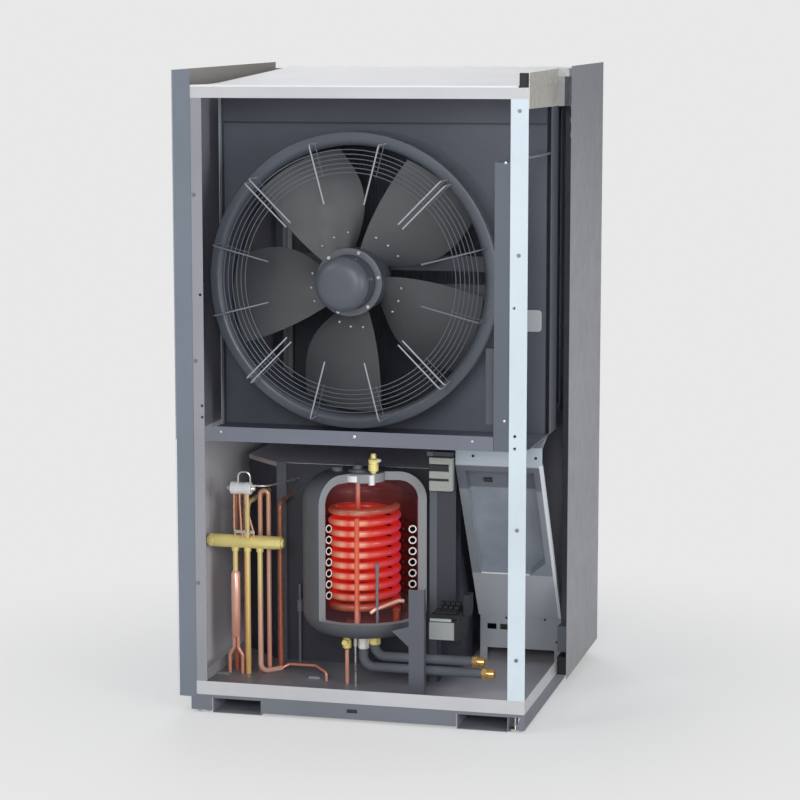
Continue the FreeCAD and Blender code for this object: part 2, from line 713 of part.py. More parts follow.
block("cable_duct", DUCT_LEFT, INNER_FRONT, DECK, "Dim.duct_width", "Dim.duct_depth",
      "Dim.duct_top-Dim.shelf_height-Dim.metal-Dim.seat_gap")
block("junction_box", total(DUCT_LEFT, "-Dim.box_width", "-Dim.seat_gap"), front("10"), up("Dim.box_low"),
      "Dim.box_width", "Dim.box_depth", "Dim.box_height")

# Fan: nozzle, outlet guard, impeller and motor on one axle that points out of the front


def about_axle(obj):
    """Carry a piece modelled about the upright of the XY plane onto the fan axle."""
    return bind(obj, x=MIDDLE, z=AXLE)


RIM = front("Dim.rim_from_front")
NOZZLE_END = total(BULKHEAD, "-Dim.seat_gap")
about_axle(turned("nozzle_ring", "XY_Plane", [
    ("Dim.rim_radius", RIM), ("Dim.rim_radius", total(RIM, "Dim.rim_fold")),
    ("Dim.rim_radius-Dim.nozzle_wall", total(RIM, "Dim.rim_fold")),
    ("Dim.rim_radius-Dim.nozzle_wall", total(RIM, "Dim.nozzle_wall")),
    ("Dim.lip_radius+Dim.nozzle_wall", total(RIM, "Dim.nozzle_wall")),
    ("Dim.throat_radius+Dim.nozzle_wall", total(RIM, "Dim.rim_fold")),
    ("Dim.throat_radius+Dim.nozzle_wall", total(NOZZLE_END, "-Dim.nozzle_wall")),
    ("Dim.rim_radius", total(NOZZLE_END, "-Dim.nozzle_wall")), ("Dim.rim_radius", NOZZLE_END),
    ("Dim.throat_radius", NOZZLE_END), ("Dim.throat_radius", total(RIM, "Dim.rim_fold-4")),
    ("Dim.throat_radius+3", total(RIM, "6")), ("Dim.lip_radius", RIM)]))


def bar(name, start, end, width):
    """A square bar between two points."""
    along = end - start
    stick = Part.makeBox(width, width, along.Length, FreeCAD.Vector(-width / 2, -width / 2, 0))
    stick.Placement = FreeCAD.Placement(start, FreeCAD.Rotation(FreeCAD.Vector(0, 0, 1), along))
    piece = doc.addObject("Part::Feature", name)
    piece.Shape = stick
    return piece


wire = size("guard_wire")
ring_level = "Dim.rim_from_front-Dim.guard_stand"
guard = []
for number in range(6):
    radius = "Dim.guard_inner+Dim.guard_wire+%d*Dim.guard_pitch" % number
    outer_ring = prism("guard_outer_%d" % number, 48, MIDDLE, front(ring_level), AXLE, radius,
        "Dim.guard_wire", "y")
    inner_ring = prism("guard_inner_%d" % number, 48, MIDDLE, front(ring_level, "-1"), AXLE,
                       radius + "-Dim.guard_wire", "Dim.guard_wire+2", "y")
    guard.append(carved("guard_ring_%d" % number, outer_ring, inner_ring, False))
spokes = [(angle + turn, 0.0) for angle in (0, 90, 180, 270) for turn in (-14.6, 14.6)]
spokes += [(angle, side * size("spoke_pair") / 2) for angle in (45, 135, 225, 315) for side in (-1, 1)]
rim_y = size("rim_from_front") - size("seat_gap")
basket_y = size("rim_from_front") - size("spoke_stand")
stay_y = size("rim_from_front") - size("guard_stand") + wire * 1.4


def guard_spot(angle, aside, radius, depth):
    """A point beside the radial line of a spoke, from the fan axle."""
    heading = math.radians(angle)
    across = radius * math.cos(heading) - aside * math.sin(heading)
    height = radius * math.sin(heading) + aside * math.cos(heading)
    return spot_of("guard", size("fan_from_left") + across, depth, size("fan_height") + height)


for number, (angle, aside) in enumerate(spokes):
    guard.append(bar("spoke_%d" % number, guard_spot(angle, aside, size("spoke_inner"), basket_y),
                     guard_spot(angle, aside, size("spoke_outer") + wire / 2, basket_y), wire))
    guard.append(bar("leg_%d" % number, guard_spot(angle, aside, size("spoke_outer"), basket_y),
                     guard_spot(angle, aside, size("spoke_outer"), rim_y), wire))
    guard.append(bar("stay_wire_%d" % number, guard_spot(angle, aside, size("guard_inner") - wire, stay_y),
                     guard_spot(angle, aside, size("spoke_outer"), stay_y), wire))
joined("fan_guard", guard)

HUB = front("Dim.hub_front")
about_axle(turned("fan_hub", "XY_Plane", [
    ("Dim.hub_ring_radius", HUB), ("Dim.hub_ring_radius", total(HUB, "Dim.hub_ring_metal")),
    ("Dim.hub_radius", total(HUB, "Dim.hub_ring_metal")), ("Dim.hub_radius", total(HUB, "Dim.hub_length")),
    ("Dim.rotor_radius+Dim.seat_gap", total(HUB, "Dim.hub_length")),
    ("Dim.rotor_radius+Dim.seat_gap", HUB)]))
reach = size("throat_radius") - size("tip_gap")
blade_front = size("rim_from_front") + size("blade_from_rim")
blade_deep = size("blade_depth")
# Stations of one blade: radius, leading and trailing angle in degrees, and how much of the depth each edge takes
STATIONS = [(0.22, 33, -21, 0.02, 0.62), (0.48, 27, -33, 0.0, 0.74), (0.72, 23, -29, 0.0, 0.86),
            (0.9, 20, -23, 0.02, 0.95), (1.06, 18, -17, 0.06, 1.0)]


def blade_section(share, leading, trailing, low, high, turn):
    """One flat section of a blade, its chord between two edges and its thickness in depth."""
    corners = []
    for angle, depth in ((leading, low), (trailing, high)):
        heading = math.radians(turn + angle)
        corners.append(spot_of("blade", size("fan_from_left") + reach * share * math.cos(heading),
                               blade_front + blade_deep * depth,
                               size("fan_height") + reach * share * math.sin(heading)))
    thick = FreeCAD.Vector(0, size("blade_metal"), 0)
    return Part.makePolygon([corners[0], corners[1], corners[1] + thick, corners[0] + thick, corners[0]])


blades = []
for number in range(5):
    turn = -97 + 72 * number
    sections = [blade_section(*station, turn) for station in STATIONS]
    blade = doc.addObject("Part::Feature", "blade_%d" % number)
    blade.Shape = Part.makeLoft(sections, True, True)
    blades.append(blade)
sweep_disc = rod("blade_sweep", MIDDLE, front("Dim.hub_front"), AXLE, "Dim.throat_radius-Dim.tip_gap",
    "Dim.spoke_stand*2", "y", False)
core = rod("blade_core", MIDDLE, front("Dim.hub_front-5"), AXLE, "Dim.hub_radius+Dim.seat_gap",
    "Dim.spoke_stand*2+10", "y", False)
room = carved("blade_room", sweep_disc, core, False)
trimmed = []
for number, blade in enumerate(blades):
    common = doc.addObject("Part::MultiCommon", "blade_trim_%d" % number)
    common.Shapes = [blade, room]
    trimmed.append(common)
grouped("fan_blades", trimmed)

NOSE = front("Dim.rotor_front")
ROTOR_END = total(NOSE, "Dim.dome_rise", "Dim.rotor_length")
about_axle(turned("motor_rotor", "XY_Plane", [
    ("0", NOSE), ("Dim.rotor_radius*0.5", total(NOSE, "Dim.dome_rise*0.16")),
    ("Dim.rotor_radius*0.88", total(NOSE, "Dim.dome_rise*0.58")),
    ("Dim.rotor_radius", total(NOSE, "Dim.dome_rise")), ("Dim.rotor_radius", ROTOR_END),
    ("Dim.journal_radius+Dim.journal_fit", ROTOR_END),
    ("Dim.journal_radius+Dim.journal_fit", total(ROTOR_END, "-Dim.journal_length", "-1")),
    ("0", total(ROTOR_END, "-Dim.journal_length", "-1"))]))
bolts = []
for number in range(6):
    heading = "%d" % (60 * number + 10)
    bolts.append(rod("hub_bolt_%d" % number, total(MIDDLE,
        "(Dim.hub_radius-Dim.bolt_radius/2)*cos(%s)" % heading),
                     total(HUB, "-4"), total(AXLE, "(Dim.hub_radius-Dim.bolt_radius/2)*sin(%s)" % heading),
                     "Dim.bolt_radius", "4", "y", False))
grouped("hub_bolts", bolts)
ARM_FACE = total(BULKHEAD, "Dim.metal", "Dim.seat_gap")
about_axle(turned("motor_stator", "XY_Plane", [
    ("0", total(ROTOR_END, "-Dim.journal_length")), ("Dim.journal_radius",
    total(ROTOR_END, "-Dim.journal_length")),
    ("Dim.journal_radius", total(ROTOR_END, "1")), ("Dim.stator_radius", total(ROTOR_END, "1")),
    ("Dim.stator_radius", total(ARM_FACE, "-Dim.seat_gap")), ("0", total(ARM_FACE, "-Dim.seat_gap"))]))
joined("motor_bracket", [
    block("bracket_bar_%d" % side, total(MIDDLE, "-Dim.bracket_reach"), ARM_FACE,
          total(AXLE, "%d*Dim.stator_radius*0.6-Dim.bracket_arm/2" % side), "2*Dim.bracket_reach", "6",
          "Dim.bracket_arm", False)
    for side in (-1, 1)] + [
    block("bracket_plate", total(MIDDLE, "-Dim.stator_radius"), ARM_FACE, total(AXLE, "-Dim.stator_radius"),
          "2*Dim.stator_radius", "6", "2*Dim.stator_radius", False)])

# Evaporator: a finned block between two end plates on a drip tray, with return bends at its left end
COIL_FRONT = rear("-Dim.coil_block_from_rear", "-Dim.coil_block_depth")
COIL_LOW = total(DECK, "Dim.tray_height")
joined("evaporator_coil", [
    block("fin_block", left("60"), COIL_FRONT, total(COIL_LOW, "-2"), "Dim.frame_width-120",
    "Dim.coil_block_depth",
          "Dim.coil_block_height", False),
    block("end_plate_left", left("56"), total(COIL_FRONT, "-8"), DECK, "4", "Dim.coil_block_depth+16",
          "Dim.coil_block_height+Dim.tray_height", False),
    block("end_plate_right", right("-60"), total(COIL_FRONT, "-8"), DECK, "4", "Dim.coil_block_depth+16",
          "Dim.coil_block_height+Dim.tray_height", False),
    block("drip_tray", left("56"), total(COIL_FRONT, "-20"), DECK, "Dim.frame_width-112",
    "Dim.coil_block_depth+40",
          "Dim.tray_height", False)])
coil_y = size("frame_depth") - size("coil_block_from_rear") - size("coil_block_depth") / 2
bend_root = size("frame_width") - 56 + size("seat_gap")
bends = []
for number in range(6):
    level = size("shelf_height") + 100 + 2 * size("bend_pitch") * number
    bends.append(tube("return_bend_%d" % number, [
        spot_of("bend", bend_root, coil_y, level), spot_of("bend", bend_root + 32, coil_y, level),
        spot_of("bend", bend_root + 32, coil_y, level + size("bend_pitch")),
        spot_of("bend", bend_root, coil_y, level + size("bend_pitch"))],
        size("pipe_radius"), 24, False))
grouped("return_bends", bends)
# Compressor enclosure: a closed box at the back of the machine room with one corner cut off, and its edge trim
BOX_FACE = front("Dim.enclosure_from_front")
CORNER = left("Dim.enclosure_left")
folded("compressor_enclosure", "XY_Plane", [
    (CORNER, BOX_FACE), (left("Dim.enclosure_right"), BOX_FACE), (left("Dim.enclosure_right"), rear("-30")),
    (INNER_LEFT, rear("-30")), (INNER_LEFT, total(BOX_FACE, "Dim.enclosure_left-Dim.metal-Dim.seat_gap"))],
    FLOOR, "Dim.enclosure_height-2*Dim.metal")
TRIM_BACK = total(BOX_FACE, "-1.5*Dim.seat_gap")
TRIM_FACE = total(TRIM_BACK, "-1.5*Dim.skin")
WALL_END = total(CORNER, "-Dim.enclosure_left", "Dim.metal", "Dim.seat_gap")
WALL_BACK = "Dim.enclosure_left-Dim.metal-Dim.seat_gap"
TRIM_TOP = total(FLOOR, "Dim.enclosure_height-2*Dim.metal")
joined("enclosure_trim", [
    block("trim_upright", CORNER, TRIM_FACE, FLOOR, "Dim.enclosure_trim", "1.5*Dim.skin",
          "Dim.enclosure_height-2*Dim.metal", False),
    folded("trim_top", "XY_Plane", [
        (CORNER, TRIM_FACE), (CORNER, TRIM_BACK), (WALL_END, total(TRIM_BACK, WALL_BACK)),
        (WALL_END, total(TRIM_FACE, WALL_BACK))], total(TRIM_TOP, "-Dim.trim_bar"), "Dim.trim_bar",
        node=False)])

# Reversing valve: a brass body lying across, three ports below and one above, and its pilot on thin tubes
VALVE_Y = front("Dim.valve_from_front")
VALVE_Z = up("Dim.valve_height")
PORT = [left("Dim.valve_from_left", "Dim.port_from_end", "%d*Dim.port_pitch" % number)
    for number in range(3)]
STUB = "Dim.pipe_radius+3"
joined("reversing_valve", [
    rod("valve_barrel", left("Dim.valve_from_left"), VALVE_Y, VALVE_Z, "Dim.valve_radius",
    "Dim.valve_length", "x", False),
    rod("valve_plugs", left("Dim.valve_from_left", "-6"), VALVE_Y, VALVE_Z, "Dim.valve_radius-5",
    "Dim.valve_length+12", "x", False),
    rod("port_above", PORT[1], VALVE_Y, VALVE_Z, STUB, "Dim.valve_radius+9", "z", False)] + [
    rod("port_below_%d" % number, PORT[number], VALVE_Y, total(VALVE_Z, "-Dim.valve_radius-9"), STUB,
        "Dim.valve_radius+9", "z", False) for number in range(3)])
valve_x = [size("valve_from_left") + size("port_from_end") + size("port_pitch") * number
    for number in range(3)]
valve_y = size("valve_from_front")
under = size("valve_height") - size("valve_radius") - 9 - size("seat_gap")
over = size("valve_height") + size("valve_radius") + 9 + size("seat_gap")
floor = 2 * size("metal") + 2 * size("seat_gap")
box_face = size("enclosure_from_front") - size("seat_gap")
pipe = size("pipe_radius")
chamfer_y = size("enclosure_from_front") + size("enclosure_left") - valve_x[1] - pipe - 1
grouped("valve_pipes", [
    tube("suction_pipe", [spot_of("suction", valve_x[1], valve_y, under),
    spot_of("suction", valve_x[1], valve_y, floor)],
         pipe + 0.5, 20, False),
    tube("discharge_pipe", [spot_of("discharge", valve_x[1], valve_y, over),
    spot_of("discharge", valve_x[1], valve_y, size("discharge_height")),
                            spot_of("discharge", valve_x[1], chamfer_y, size("discharge_height"))], pipe,
                            22, False),
    tube("outlet_pipe", [spot_of("outlet", valve_x[2], valve_y, under),
    spot_of("outlet", valve_x[2], valve_y, size("outlet_height")),
                         spot_of("outlet", valve_x[2] + 44, valve_y + 52, size("outlet_height"))], pipe,
                         24, False)])
sleeve_top = size("sleeve_top")
sleeve_low = size("sleeve_low")
branch = [
    tube("branch_stem", [spot_of("branch", valve_x[0], valve_y, under),
    spot_of("branch", valve_x[0], valve_y, sleeve_top - 2)],
         pipe, 20, False),
    rod("branch_sleeve", PORT[0], VALVE_Y, up("Dim.sleeve_low"), "Dim.sleeve_radius",
    "Dim.sleeve_top-Dim.sleeve_low",
        "z", False)]
for aside, shift in (("near", -6), ("far", 6)):
    branch.append(tube("branch_%s" % aside, [
        spot_of("branch", valve_x[0] + shift, valve_y, sleeve_low + 5),
        spot_of("branch", valve_x[0] + shift, valve_y, sleeve_low - 30),
        spot_of("branch", valve_x[0] + 3 * shift, valve_y, sleeve_low - 50),
        spot_of("branch", valve_x[0] + 3 * shift, valve_y, floor)], size("branch_radius"), 14, False))
joined("branch_pipe", branch)
loop_y = valve_y + size("loop_behind")
loops = []
for name, x0, x1, level in (("left", valve_x[0] - 10, valve_x[0] + 17, size("loop_left")),
                            ("right", valve_x[2] - 11, valve_x[2] + 13, size("loop_right"))):
    loops.append(tube("loop_%s" % name, [
        spot_of("loop", x0, loop_y, floor), spot_of("loop", x0, loop_y, level),
        spot_of("loop", x1, loop_y, level),
        spot_of("loop", x1, loop_y, floor)], pipe - 0.5, (x1 - x0) / 2 - 0.2, False))
rear_x = size("rear_loop_left")
rear_y = loop_y + size("rear_loop_behind")
rear_z = size("rear_loop_height")
loops.append(tube("loop_rear", [spot_of("loop", rear_x, rear_y, floor),
    spot_of("loop", rear_x, rear_y, rear_z),
                                spot_of("loop", rear_x, box_face, rear_z)], pipe, 20, False))
grouped("loop_pipes", loops)
PILOT_Y = total(VALVE_Y, "-Dim.valve_radius-Dim.pilot_size/2-Dim.seat_gap")
PILOT_X = left("Dim.pilot_left")
STRAP_X = left("Dim.strap_left")
STRAP_Z = total(VALVE_Z, "-Dim.valve_radius/2")
CLIP_Y = total(VALVE_Y, "-Dim.valve_radius-3")
CLIP_Z = total(VALVE_Z, "Dim.valve_radius+8")
pilot_x = size("pilot_left")
pilot_y = valve_y - size("valve_radius") - size("pilot_size") / 2 - size("seat_gap")
pilot_z = size("pilot_height")
capillary = size("capillary_radius")
pilot = [
    rod("pilot_coil", PILOT_X, PILOT_Y, up("Dim.pilot_height"), "Dim.pilot_size/2", "Dim.pilot_width",
    "x", False),
    rod("pilot_stem", total(PILOT_X, "-10"), PILOT_Y, up("Dim.pilot_height"), "Dim.pilot_size/5",
    "Dim.pilot_width+20", "x", False),
    block("pilot_strap", STRAP_X, total(PILOT_Y, "-1"), STRAP_Z, "Dim.strap_width", "2",
          "Dim.pilot_height-Dim.valve_height", False),
    block("strap_foot", STRAP_X, total(PILOT_Y, "-1"), STRAP_Z, "Dim.strap_width",
          "Dim.pilot_size/2+0.7+Dim.valve_radius*0.1", "3", False),
    block("capillary_clip", total(PILOT_X, "2"), CLIP_Y, CLIP_Z, "Dim.pilot_width", "3", "9", False),
    block("clip_arm", STRAP_X, PILOT_Y, CLIP_Z, "Dim.strap_width", "Dim.pilot_size/2+Dim.seat_gap", "3",
    False)]
pilot += [tube("capillary_%d" % number, [
    spot_of("capillary", pilot_x + start, pilot_y, pilot_z),
    spot_of("capillary", pilot_x + start, pilot_y, pilot_z - 40),
    spot_of("capillary", pilot_x + end, pilot_y + 8, size("valve_height") + 40),
    spot_of("capillary", pilot_x + end, pilot_y + 8, size("valve_height") + 4)], capillary, 6, False)
    for number, (start, end) in enumerate(((8, 4), (24, 24), (40, 56)))]
pilot.append(tube("pilot_loop", [
    spot_of("capillary", pilot_x + 20, pilot_y, pilot_z), spot_of("capillary", pilot_x + 20, pilot_y,
    pilot_z + 44),
    spot_of("capillary", pilot_x + 54, pilot_y, pilot_z + 44),
    spot_of("capillary", pilot_x + 54, pilot_y, pilot_z)],
    capillary, 14, False))
pilot.append(tube("pilot_lead", [
    spot_of("capillary", pilot_x + 40, pilot_y, pilot_z + 8),
    spot_of("capillary", pilot_x + 100, pilot_y, pilot_z + 8),
    spot_of("capillary", pilot_x + 130, box_face, pilot_z - 4)], capillary, 20, False))
joined("pilot_valve", pilot)
outlet_end = (valve_x[2] + 44, valve_y + 52)
tube("liquid_pipe", [spot_of("liquid", outlet_end[0] + 0.7, outlet_end[1] + 0.8, size("outlet_height")),
                     spot_of("liquid", outlet_end[0] + 19, outlet_end[1] + 8, size("outlet_height") + 10),
                     spot_of("liquid", outlet_end[0] + 102, outlet_end[1] - 15, size("outlet_height") + 16),
                     spot_of("liquid", outlet_end[0] + 149, outlet_end[1] - 77, size("outlet_height") + 14),
                     spot_of("liquid", outlet_end[0] + 149, outlet_end[1] - 77, floor)], 4, 9)
sensor = joined("sensor_floor", [
    rod("sensor_bar", left("189"), front("380"), FLOOR, "4", "222", "z", False),
    rod("sensor_collar", left("189"), front("380"), up("150"), "8", "34", "z", False)], False)

clips = []
for number, (across, along) in enumerate((("6", "200"), ("262", "214"))):
    clips.append(block("clip_%d" % number, left(across), front(along), FLOOR, "32", "12", "5", False))
grouped("floor_clips", clips)

# Condenser tank: an insulated shell cut open in a wedge, a liner, two coils and a riser
TANK_X = left("Dim.tank_from_left")
TANK_Y = front("Dim.tank_from_front")
TANK_Z = up("Dim.tank_base")
FOOT = total(TANK_Z, "Dim.tank_wall", "Dim.seat_gap")
thermowell = joined("sensor_tank", [
    rod("well_bar", total(TANK_X, "58"), total(TANK_Y, "-90"), FOOT, "4", "176", "z", False),
    rod("well_cap", total(TANK_X, "58"), total(TANK_Y, "-90"), total(FOOT, "160"), "5.5", "18", "z",
    False)], False)
grouped("sensor_rods", [sensor, thermowell])
WEDGE = "Dim.window_from+Dim.window_to"
DOME = "Dim.tank_radius-Dim.tank_round"


def on_tank(obj):
    """Stand a piece modelled about the upright axis on the tank's place."""
    return bind(obj, x=TANK_X, y=TANK_Y, z=TANK_Z)


def dome_points(radius, top, rounding):
    """The rounded shoulder of the tank from its side to its flat top, in three flats."""
    return [("%s-(%s)*%.4f" % (radius, rounding, 1 - math.cos(math.radians(turn))),
             "%s-(%s)*%.4f" % (top, rounding, 1 - math.sin(math.radians(turn))))
             for turn in (0, 30, 60, 90)]


INNER_RADIUS = "Dim.tank_radius-Dim.tank_wall"
shell = on_tank(turned("shell_round", "XZ_Plane", [("0", "0.0"), ("Dim.tank_radius-14", "0.0"),
    ("Dim.tank_radius", "14")]
                       + dome_points("Dim.tank_radius", "Dim.tank_height",
                       "Dim.tank_round") + [("0", "Dim.tank_height"),
                       ("0", "Dim.tank_height-Dim.tank_wall")]
                       + list(reversed(dome_points(INNER_RADIUS, "Dim.tank_height-Dim.tank_wall",
                       "Dim.tank_round-Dim.tank_wall")))
                       + [(INNER_RADIUS, "Dim.tank_wall"), ("0", "Dim.tank_wall")], node=False))
wedge = rod("wedge_full", TANK_X, TANK_Y, total(TANK_Z, "Dim.window_sill"), "Dim.tank_radius+20",
    "Dim.tank_height", "z", False)
wedge.Placement = FreeCAD.Placement(FreeCAD.Vector(), FreeCAD.Rotation(FreeCAD.Vector(0, 0, 1),
    -90 - size("window_from")))
wedge.setExpression("Angle", WEDGE)
crown = rod("wedge_crown", TANK_X, TANK_Y, total(TANK_Z, "Dim.tank_height-Dim.tank_wall-1"),
    "Dim.crown_radius",
            "Dim.tank_wall+40", "z", False)
opening = carved("tank_window", wedge, crown, False)
open_shell = carved("shell_open", shell, opening, False)
joined("tank_shell", [open_shell,
       rod("neck_low", total(TANK_X, "-19"), TANK_Y, total(TANK_Z, "Dim.tank_height-1"), "Dim.neck_radius",
           "Dim.neck_height+1", "z", False),
       rod("neck_high", total(TANK_X, "-19"), TANK_Y, total(TANK_Z, "Dim.tank_height"),
       "Dim.neck_radius*0.55",
           "Dim.neck_height+12", "z", False),
       rod("port_cap", total(TANK_X, "-76"), TANK_Y, total(TANK_Z, "Dim.tank_height-1"),
       "Dim.neck_radius*0.6",
           "Dim.neck_height+4", "z", False)])
liner_outer = rod("liner_outer", TANK_X, TANK_Y, total(TANK_Z, "Dim.tank_wall", "Dim.seat_gap"),
                  INNER_RADIUS + "-Dim.seat_gap", "Dim.tank_height-Dim.tank_round-Dim.tank_wall-2", "z",
                  False)
liner_inner = rod("liner_inner", TANK_X, TANK_Y, total(TANK_Z, "Dim.tank_wall-1"),
                  INNER_RADIUS + "-Dim.seat_gap-Dim.liner_wall", "Dim.tank_height", "z", False)
for half in (liner_outer, liner_inner):
    half.Placement = FreeCAD.Placement(FreeCAD.Vector(), FreeCAD.Rotation(FreeCAD.Vector(0, 0, 1),
        size("window_to") - 90))
liner_outer.setExpression("Angle", "360-(%s)" % WEDGE)
carved("tank_liner", liner_outer, liner_inner)


def coil(name, radius, tube_radius, low, pitch, begin, turns, stations):
    """A six-sided tube wound about the tank axis, from an angle in degrees."""
    rings = []
    axis = spot_of("coil", size("tank_from_left"), size("tank_from_front"), size("tank_base") + low)
    for step in range(int(round(turns * stations)) + 1):
        heading = math.radians(begin + 360.0 * step / stations)
        out = FreeCAD.Vector(math.cos(heading), math.sin(heading), 0)
        middle = axis + out * radius + FreeCAD.Vector(0, 0, pitch * step / stations)
        corners = [middle + out * (tube_radius * math.cos(math.radians(side * 60)))
                   + FreeCAD.Vector(0, 0, tube_radius * math.sin(math.radians(side * 60)))
                   for side in range(6)]
        rings.append(Part.makePolygon(corners + corners[:1]))
    piece = doc.addObject("Part::Feature", name)
    piece.Shape = Part.makeLoft(rings, True, True)
    return piece


inner_coil = coil("inner_winding", size("inner_coil_radius"), size("coil_tube"), size("coil_low"),
    size("coil_pitch"),
                  0, 10, 18)
joined("inner_coil", [inner_coil,
       rod("coil_foot", total(TANK_X, "Dim.inner_coil_radius"), TANK_Y, FOOT, "Dim.coil_tube*0.9",
           "Dim.coil_low-Dim.tank_wall-Dim.seat_gap", "z", False)])
arc = (360 - size("window_from") - size("window_to")) / 360
arcs = [coil("outer_arc_%d" % number, size("outer_coil_radius"), size("outer_coil_tube"),
             size("outer_coil_low") + number * size("outer_coil_pitch") - 15, size("outer_coil_pitch"),
             size("window_to") - 90 + 1, arc - 2 / 360, 18) for number in range(7)]
for turn in (50, 130, 200):
    arcs.append(rod("coil_comb_%d" % turn, total(TANK_X, "Dim.outer_coil_radius*cos(%d)" % turn),
                    total(TANK_Y, "Dim.outer_coil_radius*sin(%d)" % turn), FOOT, "4",
                    "Dim.outer_coil_low+6*Dim.outer_coil_pitch-Dim.tank_wall",
                    "z", False))
joined("outer_coil", arcs)
RISER = "(Dim.inner_coil_radius+Dim.coil_tube+Dim.riser_radius+Dim.seat_gap)"
grouped("riser_tubes", [
    rod("riser_front", total(TANK_X, "6"), total(TANK_Y, "-" + RISER), FOOT, "Dim.riser_radius",
        "Dim.riser_top-Dim.tank_wall", "z", False),
    rod("dip_tube", total(TANK_X, "-19"), TANK_Y, FOOT, "Dim.riser_radius",
        "Dim.tank_height-2*Dim.tank_wall-2*Dim.seat_gap", "z", False)])
VENT_X = total(TANK_X, "30")
VENT_Y = total(TANK_Y, "-22")
VENT_Z = total(TANK_Z, "Dim.tank_height", "Dim.seat_gap")
joined("air_vent", [
    rod("vent_body", VENT_X, VENT_Y, VENT_Z, "Dim.vent_radius", "Dim.vent_height*0.72", "z", False),
    rod("vent_cap", VENT_X, VENT_Y, VENT_Z, "Dim.vent_radius*0.55", "Dim.vent_height", "z", False),
    rod("vent_side", VENT_X, VENT_Y, total(VENT_Z, "Dim.vent_height*0.5"), "Dim.vent_radius*0.4",
    "Dim.vent_radius+8", "x", False)])

# Water side: a drain valve, two insulated pipes from the tank floor and their brass unions
UNDER_TANK = total(TANK_Z, "-Dim.seat_gap")
drain = joined("drain_tap", [
    rod("drain_body", left("378"), front("Dim.water_from_front"), total(UNDER_TANK, "-Dim.drain_length"),
    "Dim.drain_radius",
        "Dim.drain_length", "z", False),
    rod("drain_lever", left("378"), front("Dim.water_from_front-Dim.drain_radius-14"),
    total(UNDER_TANK, "-Dim.drain_length/2"),
        "Dim.drain_radius*0.6", "Dim.drain_radius+14", "y", False),
    rod("drain_tail", left("378"), front("Dim.water_from_front"), total(FLOOR, "Dim.seat_gap"),
    "Dim.drain_tail",
        "Dim.tank_base-2*Dim.metal-Dim.drain_length", "z", False)], False)
fill = joined("fill_pipe", [
    rod("fill_line", left("Dim.fill_from_left"), front("Dim.water_from_front"),
    total(FLOOR, "Dim.seat_gap"), "3.5",
        "Dim.tank_base-2*Dim.metal-3*Dim.seat_gap", "z", False),
    rod("fill_collar", left("Dim.fill_from_left"), front("Dim.water_from_front"),
    total(UNDER_TANK, "-40"), "5.5", "40",
        "z", False)], False)
grouped("drain_valve", [drain, fill])
water_y = size("water_from_front")
water_top = size("tank_base") - 2 * size("seat_gap")
water_pipes = []
for name, across, level, far in (("flow", size("flow_from_left"), size("flow_height"), size("flow_reach")),
                                 ("return", size("return_from_left"), size("return_height"),
                                 size("return_reach"))):
    water_pipes.append(tube(name + "_pipe", [
        spot_of(name, across, water_y, water_top - size(name + "_nut")),
        spot_of(name, across, water_y, level),
        spot_of(name, far, water_y, level)], size("water_radius"), size("water_bend"), False))
grouped("water_pipes", water_pipes)
unions = []
for name, far in (("flow", "Dim.flow_reach"), ("return", "Dim.return_reach")):
    start = left(far, "Dim.seat_gap")
    level = up("Dim.%s_height" % name)
    depth = front("Dim.water_from_front")
    body = joined(name + "_union_body", [
        prism(name + "_union_hex", 6, start, depth, level, "Dim.union_radius*0.95",
        "Dim.union_length*0.45", "x"),
        rod(name + "_union_tube", start, depth, level, "Dim.union_radius*0.72", "Dim.union_length", "x",
        False)], False)
    bore = rod(name + "_union_bore", left(far, "Dim.seat_gap", "Dim.union_length-Dim.union_depth"), depth,
        level,
               "Dim.union_bore", "Dim.union_depth+1", "x", False)
    unions.append(carved(name + "_union", body, bore, False))
    unions.append(prism(name + "_tank_nut", 6, left("Dim.%s_from_left" % name), depth,
                        total(UNDER_TANK, "-Dim.%s_nut" % name), "Dim.nut_radius", "Dim.%s_nut" % name))
grouped("water_unions", unions)

# Controls: an upright and a device post, two devices, and the inclined console with its recess
UPRIGHT_Y = front("Dim.upright_from_front")
upright = folded("upright_channel", "XY_Plane", [
    (left("Dim.upright_left"), UPRIGHT_Y), (left("Dim.upright_left", "Dim.upright_width"), UPRIGHT_Y),
    (left("Dim.upright_left", "Dim.upright_width"), total(UPRIGHT_Y, "20")),
    (left("Dim.upright_left", "Dim.upright_width", "-Dim.metal"), total(UPRIGHT_Y, "20")),
    (left("Dim.upright_left", "Dim.upright_width", "-Dim.metal"), total(UPRIGHT_Y, "Dim.metal")),
    (left("Dim.upright_left", "Dim.metal"), total(UPRIGHT_Y, "Dim.metal")),
    (left("Dim.upright_left", "Dim.metal"), total(UPRIGHT_Y, "20")),
    (left("Dim.upright_left"), total(UPRIGHT_Y, "20"))],
    total(FLOOR, "Dim.seat_gap"), "Dim.upright_height-2*Dim.metal", node=False)
gusset = folded("upright_gusset", "XZ_Plane", [
    (left("Dim.upright_left", "1"), up("Dim.gusset_low")), (left("Dim.upright_left", "1"),
    up("Dim.gusset_top")),
    (left("Dim.upright_left", "-Dim.gusset_reach"), up("Dim.gusset_top-14"))], UPRIGHT_Y, "Dim.metal",
    node=False)
joined("front_upright", [upright, gusset])
POST_Y = front("Dim.device_post_from_front")
